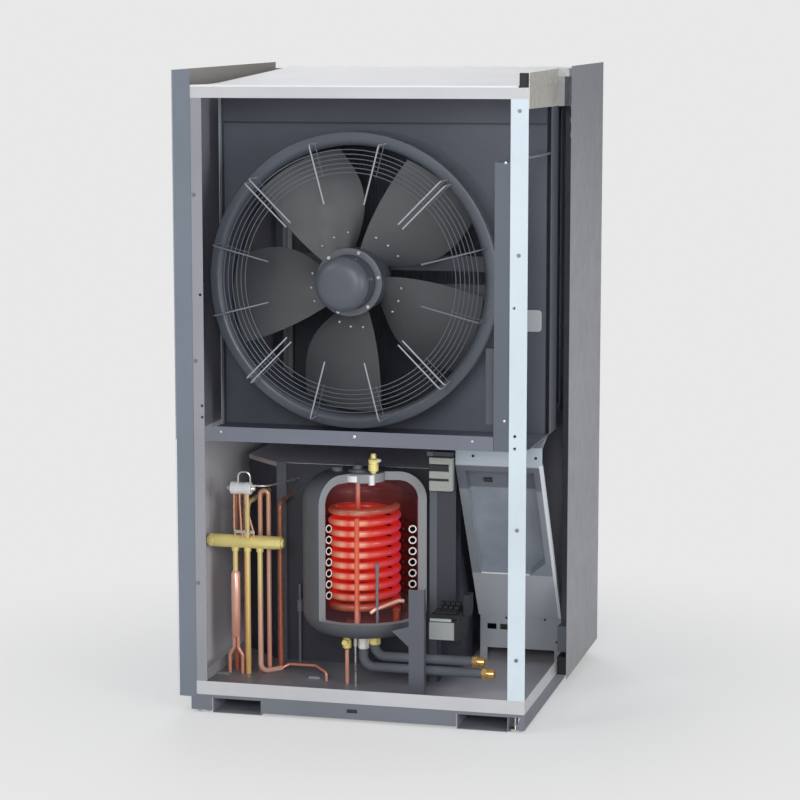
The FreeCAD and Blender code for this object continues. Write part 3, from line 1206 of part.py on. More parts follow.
joined("device_post", [
    block("post_bar", left("Dim.device_post_left"), POST_Y, total(FLOOR, "Dim.seat_gap"),
    "Dim.device_post_width",
          "Dim.device_post_depth", "Dim.shelf_height-2*Dim.metal-3*Dim.seat_gap", False),
    block("post_plate", left("Dim.device_post_left", "4"), POST_Y, up("Dim.plate_low"),
    "Dim.device_post_width-4+Dim.plate_width",
          "Dim.metal", "Dim.contactor_low+Dim.contactor_height-Dim.plate_low+15", False),
    block("post_shelf", left("Dim.device_post_left", "4"), total(POST_Y, "-Dim.contactor_depth"),
          up("Dim.contactor_low+Dim.contactor_height+4"), "Dim.contactor_width+6",
          "Dim.contactor_depth+1", "11", False)])
DEVICE_BACK = total(POST_Y, "-Dim.seat_gap")
CONTACTOR_X = left("Dim.contactor_left")
joined("contactor", [
    block("contactor_base", CONTACTOR_X, total(DEVICE_BACK, "-Dim.contactor_depth*0.6"),
    up("Dim.contactor_low"),
          "Dim.contactor_width", "Dim.contactor_depth*0.6", "Dim.contactor_height", False),
    block("contactor_front", CONTACTOR_X, total(DEVICE_BACK, "-Dim.contactor_depth"),
          up("Dim.contactor_low", "Dim.contactor_height*0.2"), "Dim.contactor_width",
          "Dim.contactor_depth*0.5",
          "Dim.contactor_height*0.6", False)])
STARTER_X = left("Dim.starter_left")
joined("soft_starter", [
    block("starter_body", STARTER_X, total(DEVICE_BACK, "-Dim.starter_length*0.8"), up("Dim.starter_low"),
          "Dim.starter_width", "Dim.starter_length*0.8", "Dim.starter_height*0.78", False),
    block("starter_front", total(STARTER_X, "Dim.metal"), total(DEVICE_BACK, "-Dim.starter_length"),
          up("Dim.starter_low", "Dim.starter_height*0.1"), "Dim.starter_width-2*Dim.metal",
          "Dim.starter_length*0.3",
          "Dim.starter_height*0.66", False),
    block("starter_side", total(STARTER_X, "Dim.starter_width-1"), total(DEVICE_BACK, "-70"),
          up("Dim.starter_low", "Dim.starter_height*0.62"), "20", "40", "58", False),
    block("starter_top", total(STARTER_X, "8"), total(DEVICE_BACK, "-Dim.starter_length*0.7"),
    up("Dim.starter_low"),
          "Dim.starter_width-16", "Dim.starter_length*0.6", "Dim.starter_height", False)])

console_drop = size("console_top") - size("console_strip") - size("console_low")
console_lean = size("console_foot") - size("console_from_front")
console_run = math.hypot(console_drop, console_lean)
console_tilt = math.degrees(math.atan2(console_lean, console_drop))
console_width = size("frame_width") - size("console_left") - size("console_right")
LEAN = FreeCAD.Placement(spot_of("console", size("console_left"), size("console_foot"),
    size("console_low")),
                         FreeCAD.Rotation(FreeCAD.Vector(1, 0, 0), console_tilt))
recess_low = (size("recess_low") - size("console_low")) / console_drop * console_run
recess_top = (size("recess_top") - size("console_low")) / console_drop * console_run
recess_side = size("recess_side")
recess_cut = 46


def recess_outline(step):
    """The five corners of the recess on the console face, moved outward by a step."""
    right_side = console_width - recess_side + step
    return [FreeCAD.Vector(recess_side - step, 0, recess_low - step),
            FreeCAD.Vector(right_side - recess_cut, 0, recess_low - step),
            FreeCAD.Vector(right_side, 0, recess_low + recess_cut - step),
            FreeCAD.Vector(right_side, 0, recess_top + step),
            FreeCAD.Vector(recess_side - step, 0, recess_top + step)]


def leaning(name, outline, start, depth):
    """A flat outline on the console face run back from start, leaned with the console."""
    piece = doc.addObject("Part::Feature", name)
    plate = Part.Face(Part.makePolygon(outline + outline[:1])).extrude(FreeCAD.Vector(0, depth, 0))
    piece.Shape = plate
    piece.Placement = LEAN * FreeCAD.Placement(FreeCAD.Vector(0, start, 0), FreeCAD.Rotation())
    return piece


whole = [FreeCAD.Vector(0, 0, 0), FreeCAD.Vector(console_width, 0, 0),
    FreeCAD.Vector(console_width, 0, console_run + 1),
         FreeCAD.Vector(0, 0, console_run + 1)]
flange = [FreeCAD.Vector(console_width - size("metal"), 0, 32), FreeCAD.Vector(console_width, 0, 32),
          FreeCAD.Vector(console_width, 0, console_run), FreeCAD.Vector(console_width - size("metal"), 0,
          console_run)]
CONSOLE_X = left("Dim.console_left")
CONSOLE_Y = front("Dim.console_from_front")
STRIP_LOW = up("Dim.console_top-Dim.console_strip")
HEAD = up("Dim.shelf_height-Dim.seat_gap")
console_face = carved("console_face", leaning("console_whole", whole, 0, size("metal")),
                      leaning("console_opening", recess_outline(0), -1, size("metal") + 2), False)
joined("electrics_console", [
    console_face, leaning("console_flange", flange, 0, 14),
    folded("console_head", "YZ_Plane", [
        (CONSOLE_Y, STRIP_LOW), (CONSOLE_Y, up("Dim.console_top")),
        (total(CONSOLE_Y, "Dim.console_back"), HEAD),
        (total(CONSOLE_Y, "Dim.console_back"), total(HEAD, "-Dim.metal")),
        (total(CONSOLE_Y, "Dim.metal"), up("Dim.console_top-Dim.metal/2")),
        (total(CONSOLE_Y, "Dim.metal"), STRIP_LOW)],
        CONSOLE_X, "Dim.frame_width-Dim.console_left-Dim.console_right", node=False)])
tray_gap = size("metal") + size("seat_gap")
carved("console_tray", leaning("tray_outer", recess_outline(4), tray_gap, size("recess_depth")),
       leaning("tray_inner", recess_outline(0), tray_gap - 1, size("recess_depth") - size("skin") + 1))
FOOT_Y = front("Dim.console_foot+Dim.metal+Dim.seat_gap")
FOOT_X = left("Dim.bracket_left")
FOOT_WIDTH = "Dim.frame_width-Dim.bracket_left-Dim.metal-Dim.seat_gap"
foot_plate = joined("bracket_plain", [
    block("bracket_face", FOOT_X, FOOT_Y, up("Dim.bracket_low"), FOOT_WIDTH, "Dim.metal",
    "Dim.console_low-Dim.bracket_low+14", False),
    block("bracket_leg_left", FOOT_X, FOOT_Y, total(FLOOR, "Dim.seat_gap"), "Dim.bracket_leg",
    "Dim.metal", "Dim.bracket_low", False),
    block("bracket_leg_right", right("-Dim.metal-Dim.seat_gap-Dim.bracket_leg"), FOOT_Y,
    total(FLOOR, "Dim.seat_gap"), "Dim.bracket_leg",
          "Dim.metal", "Dim.bracket_low", False)], False)
slots = joined("bracket_slots", [
    block("bracket_slot_%d" % number, total(FOOT_X, "20+%d*36" % number), total(FOOT_Y, "-2"),
    up("Dim.bracket_low+52"),
          "26", "Dim.metal+4", "16", False) for number in range(2)], False)
carved("console_bracket", foot_plate, slots)

# Every object must hold, and every node is written as one STEP file
doc.recompute()
for obj in doc.Objects:
    if "Invalid" in obj.State or "Error" in obj.State:
        raise RuntimeError("%s failed: %s" % (obj.Label, obj.State))
for node in nodes:
    shape = node.Shape
    if shape.isNull() or not shape.isValid() or not shape.Solids:
        raise RuntimeError("%s has no valid solid" % node.Label)
for node in nodes:
    node.Shape.exportStep("parts/%s.step" % node.Label)
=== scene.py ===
import math
import bmesh
import bpy
import numpy as np
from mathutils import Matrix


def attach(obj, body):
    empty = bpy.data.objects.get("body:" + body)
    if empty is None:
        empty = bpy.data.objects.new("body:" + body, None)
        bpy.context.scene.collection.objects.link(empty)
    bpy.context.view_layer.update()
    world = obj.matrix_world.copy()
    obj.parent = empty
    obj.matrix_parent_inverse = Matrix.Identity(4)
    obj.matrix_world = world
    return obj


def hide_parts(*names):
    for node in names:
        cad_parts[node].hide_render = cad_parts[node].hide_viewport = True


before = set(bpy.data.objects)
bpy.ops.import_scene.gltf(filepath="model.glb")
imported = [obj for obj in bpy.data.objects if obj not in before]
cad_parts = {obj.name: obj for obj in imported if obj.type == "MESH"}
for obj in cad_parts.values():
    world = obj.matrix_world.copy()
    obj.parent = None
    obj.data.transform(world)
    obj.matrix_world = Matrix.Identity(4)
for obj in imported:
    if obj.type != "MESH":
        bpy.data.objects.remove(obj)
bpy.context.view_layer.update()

HOUSING, ROTOR = "housing", "fan_rotor"

# The studio: a pale floor that fades into an even backdrop, large soft lamps and a long lens.
# The widest lamp stands beside the camera, so that it reaches into both rooms.


def tone(crest_light_and_shade, green, blue):
    """A colour seen as 0-255 values, turned into the linear values that the shader takes."""
    seen = np.array([crest_light_and_shade, green, blue]) / 255
    return tuple(np.where(seen <= 0.04045, seen / 12.92, ((seen + 0.055) / 1.055) ** 2.4)) + (1.0,)


def placed(name, data):
    """A new object in the scene, with its mesh, lamp or camera."""
    made = bpy.data.objects.new(name, data)
    bpy.context.scene.collection.objects.link(made)
    return made


def lamp(name, place, aim, width, watts, colour):
    """A square area lamp at a place, turned to its aim."""
    light = bpy.data.lights.new(name, "AREA")
    light.size = width
    light.energy = watts
    light.color = colour
    holder = placed(name, light)
    reach = np.array(aim) - np.array(place)
    holder.location = place
    lift = math.acos(-reach[2] / np.linalg.norm(reach))
    holder.rotation_euler = (lift, 0, math.atan2(reach[0], -reach[1]) + math.pi)


def fill(tree, made, inputs):
    """Set a node's sockets by name or number: a value is stored there, and another node's output is linked."""
    for socket, value in inputs.items():
        if isinstance(value, bpy.types.NodeSocket):
            tree.links.new(value, made.inputs[socket])
        else:
            made.inputs[socket].default_value = value


def node(tree, kind, inputs, **settings):
    """A shader node of one kind; its settings come first, because they decide which sockets it has."""
    made = tree.nodes.new("ShaderNode" + kind)
    for name, value in settings.items():
        setattr(made, name, value)
    fill(tree, made, inputs)
    return made


def maths(tree, operation, *values):
    """One sum on numbers or outputs."""
    return node(tree, "Math", dict(enumerate(values)), operation=operation).outputs[0]


def length(tree, vector):
    """The length of a vector."""
    return node(tree, "VectorMath", {0: vector}, operation="LENGTH").outputs["Value"]


def ranged(tree, value, start=0.0, end=1.0, low=0.0, high=1.0, **settings):
    """A value carried from the range start to end over to the range low to high, and held at its ends."""
    return node(tree, "MapRange", {"Value": value, "From Min": start, "From Max": end, "To Min": low,
                                   "To Max": high}, **settings).outputs["Result"]


def shaded(name):
    """A new material, its tree, its principled shader and its object coordinates."""
    material = bpy.data.materials.new(name)
    material.use_nodes = True
    tree = material.node_tree
    return material, tree, tree.nodes["Principled BSDF"], node(tree, "TexCoord", {}).outputs["Object"]


BACKGROUND = tone(232, 232, 232)
CLEAR_FROM, CLEAR_TO, CLEAR_LEAST = 0.6, 1.8, 0.5
studio, tree, ground, place = shaded("studio_floor")
fill(tree, ground, {"Base Color": (0.93, 0.93, 0.93, 1.0), "Roughness": 0.9})
glow = node(tree, "Emission", {"Color": BACKGROUND})
rays = node(tree, "LightPath", {}).outputs
seen = maths(tree, "MAXIMUM", rays["Is Camera Ray"], rays["Is Glossy Ray"])
fade = ranged(tree, length(tree, place), CLEAR_FROM, CLEAR_TO, CLEAR_LEAST, interpolation_type="SMOOTHSTEP")
blend = node(tree, "MixShader", {0: maths(tree, "MULTIPLY", seen, fade), 1: ground.outputs[0], 2: glow.outputs[0]})
fill(tree, tree.nodes["Material Output"], {"Surface": blend.outputs[0]})
floor_mesh = bpy.data.meshes.new("floor")
floor_mesh.from_pydata([(-40, -40, 0), (40, -40, 0), (40, 40, 0), (-40, 40, 0)], [], [(0, 1, 2, 3)])
floor_mesh.materials.append(studio)
floor = placed("floor", floor_mesh)

world = bpy.data.worlds.new("studio_air")
bpy.context.scene.world = world
world.use_nodes = True
tree = world.node_tree
sky = tree.nodes["Background"]
fill(tree, sky, {"Color": (0.93, 0.96, 1.0, 1.0), "Strength": 0.36})
plain = node(tree, "Background", {"Color": BACKGROUND})
rays = node(tree, "LightPath", {}).outputs
blend = node(tree, "MixShader", {0: rays["Is Camera Ray"], 1: sky.outputs[0], 2: plain.outputs[0]})
fill(tree, tree.nodes["World Output"], {"Surface": blend.outputs[0]})

lamp("front_lamp", (1.0, -6.6, 2.3), (0, 0, 0.85), 2.0, 150, (0.98, 0.99, 1.0))
lamp("key_lamp", (-3.0, -3.8, 3.8), (0, 0, 0.7), 1.8, 50, (1.0, 0.98, 0.95))
lamp("side_lamp", (4.4, -3.9, 1.5), (0, 0, 0.7), 2.0, 85, (0.97, 0.98, 1.0))
lamp("roof_lamp", (0.0, -0.3, 4.6), (0, 0, 0), 2.2, 19, (1.0, 1.0, 1.0))
lamp("rear_lamp", (-1.5, 4.6, 2.8), (0, 0, 0.9), 2.4, 75, (1.0, 1.0, 1.0))

bpy.context.scene.view_settings.view_transform = "Standard"
lens = bpy.data.cameras.new("camera")
lens.lens = 111.0
lens.sensor_width = 36.0
lens.clip_end = 100.0
camera = placed("camera", lens)
camera.location = (1.6468, -6.5001, 1.7245)
camera.rotation_euler = (math.pi / 2 - 0.1385, 0, 0.2472)
bpy.context.scene.camera = camera

# Frame: welded rails and folded posts in a light, slightly bluish powder coat over sheet steel.
# The coat has a fine orange peel, and handling has left it a little uneven.
WEAR_SIZE, PEEL_SIZE = 22.0, 420.0


def shade(colour, share):
    """A seen colour as shader values, made darker or lighter by a share."""
    return tuple(np.minimum(np.array(tone(*colour)[:3]) * share, 1.0)) + (1.0,)


def noise(tree, place, size, detail=2.0):
    """Noise of one size over a place."""
    return node(tree, "TexNoise", {"Vector": place, "Scale": size, "Detail": detail}).outputs["Fac"]


def ramp(tree, factor, stops):
    """A colour ramp through its stops; a stop's colour is a seen one or four shader values."""
    made = node(tree, "ValToRGB", {"Fac": factor})
    for number, (position, colour) in enumerate(stops):
        stop = made.color_ramp.elements[number] if number < 2 else made.color_ramp.elements.new(position)
        stop.position = position
        stop.color = tone(*colour) if len(colour) == 3 else colour
    return made.outputs["Color"]


def blended(tree, factor, first, second, kind="MIX"):
    """The second colour mixed over the first one, or multiplied with it."""
    return node(tree, "Mix", {"Factor": factor, "A": first, "B": second}, data_type="RGBA",
                blend_type=kind).outputs["Result"]


def bumped(tree, height, strength, distance):
    """The surface's direction as a height would tilt it."""
    return node(tree, "Bump", {"Height": height, "Strength": strength, "Distance": distance}).outputs["Normal"]


def coat(name, colour, roughness=0.45, peel=0.08, unevenness=0.07, metallic=0.0, scale=3.0):
    """A powder coat: cloudy tint from wide noise, roughness from middle noise, orange peel from fine noise."""
    material, tree, shader, place = shaded(name)
    cloud = ramp(tree, noise(tree, place, scale, 4.0),
                 [(0.3, shade(colour, 1 - unevenness)), (0.7, shade(colour, 1 + unevenness))])
    worn = ranged(tree, noise(tree, place, WEAR_SIZE, 3.0), low=max(roughness - 0.1, 0.05), high=roughness + 0.1)
    fill(tree, shader, {"Metallic": metallic, "Base Color": cloud, "Roughness": worn,
                        "Normal": bumped(tree, noise(tree, place, PEEL_SIZE), peel, 0.001)})
    return material


def zone(material, colour, soft=0.0, **spans):
    """Another tint where the object coordinates lie inside the spans: one mask per axis, multiplied together."""
    tree = material.node_tree
    shader = tree.nodes["Principled BSDF"]
    apart = node(tree, "SeparateXYZ", {"Vector": node(tree, "TexCoord", {}).outputs["Object"]}).outputs
    mask = 1.0
    for axis, (low, high) in spans.items():
        away = maths(tree, "ABSOLUTE", maths(tree, "SUBTRACT", apart[axis.upper()], (low + high) / 2))
        half = (high - low) / 2
        mask = maths(tree, "MULTIPLY", mask, ranged(tree, away, half + 1e-5, half - max(soft, 1e-5)))
    under = shader.inputs["Base Color"].links[0].from_socket
    fill(tree, shader, {"Base Color": blended(tree, mask, under, tone(*colour))})
    return material


def dress(material, *names):
    """Give CAD pieces one finish, in their own material slots."""
    for name in names:
        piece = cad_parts[name]
        if not piece.data.materials:
            piece.data.materials.append(material)
        for holder in piece.material_slots:
            holder.material = material


dress(coat("rail_coat", (190, 190, 192)), "bottom_frame", "top_frame", "rear_posts")
# The front posts are painted in two tones of the frame coat: the left one darker as painted shade, the right one
# lighter and bluer as painted light.
dress(coat("left_post_coat", (142, 142, 148)), "front_left_post")
dress(coat("post_coat", (201, 213, 220), roughness=0.38), "front_right_post")

# Floor pan, shelf, bulkhead and its header: slate-coated sheet with brighter folded lips.
# The bulkhead's left edge is folded forward and catches the light.
dress(zone(coat("slate_sheet", (80, 84, 95), roughness=0.5, unevenness=0.1), (166, 171, 180),
           x=(-0.452, -0.4453), y=(-0.186, -0.166)), "fan_bulkhead")
# The header's lower edge is painted as a dark band: a painted shadow line under the header.
dress(zone(coat("header_slate", (71, 75, 85), roughness=0.5, unevenness=0.08), (34, 36, 42),
           z=(1.545, 1.5515)), "bulkhead_header")
# The right part of the floor pan is painted lighter: painted light where that part of the pan is lit.
dress(zone(coat("pan_slate", (134, 133, 141), roughness=0.45, unevenness=0.14), (188, 186, 193), soft=0.05,
           x=(0.17, 0.5), y=(-0.5, 0.5)), "floor_pan")
dress(coat("lip_slate", (104, 109, 120), roughness=0.42), "middle_shelf")

# Casing: blue-grey side panels that stand off the frame, and the plinth in nearly the same coat.
# The left panel's inner face is painted with light and shade by room: grey in the fan room, nearly white below it
# as painted light, and a warmer grey above it.
INNER_FACE = (-0.4833, -0.4815)
left_panel_coat = coat("left_panel_coat", (110, 119, 129), roughness=0.4, unevenness=0.05)
zone(left_panel_coat, (238, 236, 241), x=INNER_FACE, z=(0.0, 0.731))
zone(left_panel_coat, (152, 152, 164), x=INNER_FACE, z=(0.731, 1.645))
zone(left_panel_coat, (158, 152, 146), x=INNER_FACE, z=(1.645, 1.8))
dress(left_panel_coat, "left_side_panel")
dress(coat("right_panel_coat", (130, 132, 138), roughness=0.38, unevenness=0.05), "right_rear_panel")
# The rear panel's inner face is painted lighter: painted light on a face that lies in shade behind the enclosure.
dress(zone(coat("panel_coat", (112, 120, 130), roughness=0.4, unevenness=0.05), (170, 170, 180),
           y=(0.4505, 0.4525)), "rear_service_panel")
dress(coat("mid_post_coat", (84, 89, 98), roughness=0.42), "middle_right_post")
dress(coat("duct_coat", (85, 91, 102), roughness=0.42), "cable_duct")
dress(coat("plinth_coat", (108, 113, 122), roughness=0.5), "plinth_frame")

# Top edge of the open side: galvanised trim with its spangle, and black mouldings on the corners.
# The trim is bare zinc sheet, cut and folded, and screwed to the rail.
SPANGLE_SIZE = 70.0


def galvanised(name, colour, roughness=0.42, metallic=0.6):
    """Zinc sheet: a cell pattern gives each spangle its own tint and roughness."""
    material, tree, shader, place = shaded(name)
    spangle = node(tree, "TexVoronoi", {"Vector": place, "Scale": SPANGLE_SIZE})
    grey = node(tree, "SeparateColor", {"Color": spangle.outputs["Color"]}).outputs
    tint = ramp(tree, grey["Red"], [(0.0, shade(colour, 0.88)), (1.0, shade(colour, 1.08))])
    fill(tree, shader, {"Metallic": metallic, "Base Color": tint,
                        "Roughness": ranged(tree, grey["Green"], low=roughness - 0.08, high=roughness + 0.1)})
    return material


zinc = galvanised("zinc_sheet", (202, 198, 188))
# The zinc's front step is painted darker greys with a near-black strip: painted shade on the step and a painted
# shadow in the gap beside it.
STEP_FRONT = (-0.0745, -0.02)
zone(zinc, (132, 131, 132), x=(0.4498, 0.4705), y=STEP_FRONT, z=(1.594, 1.672))
zone(zinc, (56, 58, 66), x=(0.4705, 0.49), y=STEP_FRONT, z=(1.594, 1.672))
zone(zinc, (150, 150, 152), x=(0.4498, 0.49), y=STEP_FRONT, z=(1.672, 1.70))
dress(zinc, "right_fascia")
black_moulding = coat("black_moulding", (22, 23, 26), roughness=0.6, peel=0.15)
dress(zone(coat("spacer_moulding", (22, 23, 26), roughness=0.6, peel=0.15), (88, 96, 104),
           x=(0.45, 0.49), z=(0.105, 0.185)), "side_spacers")
zinc_bright = galvanised("zinc_fasteners", (205, 205, 205), roughness=0.3, metallic=0.9)
dress(zinc_bright, "hub_bolts", "levelling_feet")
dress(galvanised("screw_heads", (132, 134, 138), roughness=0.36, metallic=0.9), "frame_screws")
dress(galvanised("rod_steel", (120, 124, 130), roughness=0.36), "cross_rod")

# Rear grille and the finned coil behind it: coated bars, and thin aluminium fins drawn by a wave across the block.
# The fins stand a couple of millimetres apart, and the wave's dark bands are painted shade between their edges.
# The narrow zone on the end plate is painted light on its shaded face.
dress(coat("wire_coat", (140, 146, 150), roughness=0.4), "rear_grille")
fins, tree, shader, place = shaded("aluminium_fins")
FINS_SIZE = 78.0
# The wave's dark bands paint the shade between the fins.
stripes = node(tree, "TexWave", {"Vector": place, "Scale": FINS_SIZE}, bands_direction="X").outputs["Fac"]
fill(tree, shader, {"Metallic": 0.5, "Roughness": 0.5, "Normal": bumped(tree, stripes, 0.5, 0.002),
                    "Base Color": ramp(tree, stripes, [(0.0, (66, 69, 76)), (0.6, (88, 92, 100))])})
dress(fins, "evaporator_coil")
# Painted light: the end plate, which lies in shade, is painted lighter.
zone(fins, (170, 172, 186), x=(0.3895, 0.3945))

# Fan nozzle: a spun steel bell mouth with a flat rim folded back, a rounded lip, a throat and a rear flange.
# It is one closed surface of revolution about the fan axle.


def at(across, depth, height):
    """A place counted in millimetres from the frame's left face, front face and rail underside."""
    return np.array([across - 450.0, depth - 454.0, height + 50.0]) / 1000


def skin(points, wrap_u=False, wrap_v=False):
    """Vertices and quads of a grid of points; a wrapped direction joins its last row to its first."""
    rows, columns = points.shape[:2]
    index = np.arange(rows * columns).reshape(rows, columns)
    if wrap_u:
        index = np.concatenate([index, index[:1]])
    if wrap_v:
        index = np.concatenate([index, index[:, :1]], axis=1)
    quads = np.stack([index[:-1, :-1], index[1:, :-1], index[1:, 1:], index[:-1, 1:]], axis=-1)
    return points.reshape(-1, 3), quads.reshape(-1, 4).tolist()


def make(name, parts, materials, body, slot, stands_for=(), crease=35.0):
    """One piece from (vertices, faces) parts, a finish for each part or one for all; normals point outward."""
    if len(materials) == 1:
        materials = materials * len(parts)
    finishes = list(dict.fromkeys(materials))
    vertices, faces, finish, count = [], [], [], 0
    for material, (points, polygons) in zip(materials, parts):
        vertices.append(points)
        faces += [[corner + count for corner in face] for face in polygons]
        finish += [finishes.index(material)] * len(polygons)
        count += len(points)
    mesh = bpy.data.meshes.new(name)
    mesh.from_pydata(np.concatenate(vertices).tolist(), [], faces)
    for material in finishes:
        mesh.materials.append(material)
    mesh.polygons.foreach_set("material_index", finish)
    whole = bmesh.new()
    whole.from_mesh(mesh)
    bmesh.ops.remove_doubles(whole, verts=whole.verts, dist=1e-6)
    bmesh.ops.recalc_face_normals(whole, faces=whole.faces)
    whole.to_mesh(mesh)
    whole.free()
    mesh.polygons.foreach_set("use_smooth", [True] * len(mesh.polygons))
    mesh.set_sharp_from_angle(angle=math.radians(crease))
    piece = placed(name, mesh)
    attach(piece, body)
    if stands_for:
        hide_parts(*stands_for)


def arc(centre, radius, start, end, count):
    """Points of a circular arc in a profile plane, angles in degrees."""
    turn = np.radians(np.linspace(start, end, count))
    return np.stack([centre[0] + radius * np.cos(turn), centre[1] + radius * np.sin(turn)], axis=1)


def lathe(profile, middle, axis="y", segments=192, sweep=(0.0, 360.0), closed=True):
    """A profile of radius and length carried round an axis through middle; sweep in degrees. An open profile
    gives a bare skin, and a closed one a solid with end faces where the sweep isn't a full turn."""
    whole = abs(sweep[1] - sweep[0] - 360.0) < 1e-6
    turn = np.radians(np.linspace(sweep[0], sweep[1], segments + (0 if whole else 1), endpoint=not whole))
    profile = np.asarray(profile, float)
    across = profile[None, :, 0] * np.cos(turn)[:, None]
    beside = profile[None, :, 0] * np.sin(turn)[:, None]
    along = np.broadcast_to(profile[None, :, 1], across.shape)
    order = {"y": (across, along, beside), "z": (across, beside, along), "x": (along, across, beside)}[axis]
    points, quads = skin(np.stack(order, axis=-1) / 1000 + middle, wrap_u=whole, wrap_v=closed)
    if closed and not whole:
        count = len(profile)
        quads += [list(range(count)), list(range(len(points) - count, len(points)))]
    return points, quads


AXLE = at(405, 0, 1093)
THROAT, LIP, RIM = 353.0, 363.0, 389.0
SEAT_GAP, RIM_FACE, WALL = 0.3, 145.0, 3.0
FLANGE_BACK = 310 - SEAT_GAP
nozzle_profile = np.concatenate([
    arc((RIM - 4, RIM_FACE + 4), 4, -90, 0, 6), [(RIM, RIM_FACE + 22), (RIM - WALL, RIM_FACE + 22)],
    [(RIM - WALL, RIM_FACE + 5), (RIM - 5, RIM_FACE + WALL)],
    [(LIP + 8, RIM_FACE + WALL)], arc((LIP + 8, RIM_FACE + 18), 15, 270, 180, 10),
    [(THROAT + WALL, RIM_FACE + 24), (THROAT + WALL, FLANGE_BACK - WALL), (RIM, FLANGE_BACK - WALL),
     (RIM, FLANGE_BACK), (THROAT, FLANGE_BACK)], arc((LIP + 8, RIM_FACE + 18), 18, 180, 270, 12)])
make("nozzle", [lathe(nozzle_profile, AXLE)],
     [coat("nozzle_coat", (76, 81, 90), roughness=0.34, unevenness=0.06)], HOUSING, "ring_grey", ["nozzle_ring"])

# Roof: a pan of light coated sheet that is level behind the front rail and then rises to the back, so that rain
# runs off. Its turned-down edges rest on the rail.
roof_line = [(0.2, 1597.2), (0.2, 1600.5), (1.7, 1602), (150, 1602), (240, 1605), (904, 1645.0), (907.8, 1644.2),
             (907.8, 1597.2)]
roof_points, roof_faces = skin(np.array([[at(across, depth, height) for depth, height in roof_line]
                                         for across in (15.2, 873.8)]), wrap_v=True)
roof_faces += [list(range(len(roof_line))), list(range(len(roof_line), 2 * len(roof_line)))]
roof_coat = coat("roof_coat", (226, 225, 228), roughness=0.65, unevenness=0.03)
make("roof_pan", [(roof_points, roof_faces)], [roof_coat], HOUSING, "roof_paint", ["roof_panel"], crease=20)

# Wall tab: a pale 3 mm plate on the bulkhead, cut and deburred, so its outer corners and both rims are rounded
# off. It stands behind the right post, which hides its straight end.
wall_tab_coat = coat("wall_tab_coat", (186, 188, 192), roughness=0.4)
TAB_SOFT, TAB_RIM = 9.0, 0.4


def tab_ring(inset, depth):
    """The tab's outline drawn in by inset, its two outer corners turned at TAB_SOFT."""
    low, high, outer = 955.2 + inset, 1012.4 - inset, 877.6 - inset
    soft = TAB_SOFT - inset
    line = np.concatenate([[(815.4 + inset, low)], arc((outer - soft, low + soft), soft, -90, 0, 9),
                           arc((outer - soft, high - soft), soft, 0, 90, 9), [(815.4 + inset, high)]])
    return [at(across, depth, height) for across, height in line]


tab_back, tab_front = FLANGE_BACK - 0.1, FLANGE_BACK - 2.9
tab_points, tab_faces = skin(np.array([tab_ring(TAB_RIM, tab_front), tab_ring(0, tab_front + TAB_RIM),
                                       tab_ring(0, tab_back - TAB_RIM), tab_ring(TAB_RIM, tab_back)]), wrap_v=True)
tab_corners = len(tab_points) // 4
tab_faces += [list(range(tab_corners)), list(range(3 * tab_corners, 4 * tab_corners))]
make("wall_tab_plate", [(tab_points, tab_faces)], [wall_tab_coat], HOUSING, "rail_paint", ["wall_tab"], crease=30)

# Outlet guard: a welded wire basket. Six thin rings near the rim on short stays, and sixteen bent spokes in front,
# eight single and eight in crossing pairs, that leave the middle open for the motor.


def tube(path, radius, sides=14, closed=False):
    """A round tube: a circle carried along a path, its frame turned as little as possible from point to point."""
    path = np.asarray(path, float)
    ahead = np.roll(path, -1, axis=0) - path if closed else np.gradient(path, axis=0)
    ahead /= np.linalg.norm(ahead, axis=1)[:, None]
    normal = np.cross(ahead[0], (0.0, 0.0, 1.0) if abs(ahead[0][2]) < 0.9 else (1.0, 0.0, 0.0))
    normals = []
    for direction in ahead:
        normal = normal - direction * np.dot(normal, direction)
        normal = normal / np.linalg.norm(normal)
        normals.append(normal)
    normals = np.array(normals)
    sideways = np.cross(ahead, normals)
    turn = np.linspace(0, 2 * math.pi, sides, endpoint=False)
    ring = normals[:, None, :] * np.cos(turn)[None, :, None] + sideways[:, None, :] * np.sin(turn)[None, :, None]
    points, quads = skin(path[:, None, :] + ring * radius / 1000, wrap_u=closed, wrap_v=True)
    if not closed:
        quads += [list(range(sides)), list(range(len(points) - sides, len(points)))]
    return points, quads


def ring_path(radius, depth):
    """A circle about the fan axle at one depth."""
    turn = np.linspace(0, 2 * math.pi, 160, endpoint=False)
    return np.stack([radius * np.cos(turn), np.full(160, depth), radius * np.sin(turn)], axis=1) / 1000 + AXLE


def bent(points, bend, steps=8):
    """A route whose corners are rounded to one bend radius in millimetres: at each corner the arc between
    the two tangent points is swept by weighting their offsets from the arc's middle by sines."""
    points = [np.asarray(point, float) for point in points]
    route = [points[0]]
    for before, corner, after in zip(points[:-2], points[1:-1], points[2:]):
        back = (before - corner) / np.linalg.norm(before - corner)
        onward = (after - corner) / np.linalg.norm(after - corner)
        half = math.acos(np.clip(np.dot(back, onward), -1, 1)) / 2
        setback = bend / 1000 / math.tan(half)
        middle = corner + (back + onward) / np.linalg.norm(back + onward) * (bend / 1000 / math.sin(half))
        start, end = corner + back * setback - middle, corner + onward * setback - middle
        swing = math.acos(np.clip(np.dot(start, end) / (bend / 1000) ** 2, -1, 1))
        weight = np.linspace(0, 1, steps)[:, None]
        offset = (np.sin((1 - weight) * swing) * start + np.sin(weight * swing) * end) / math.sin(swing)
        route += list(middle + offset)
    return np.array(route + [points[-1]])


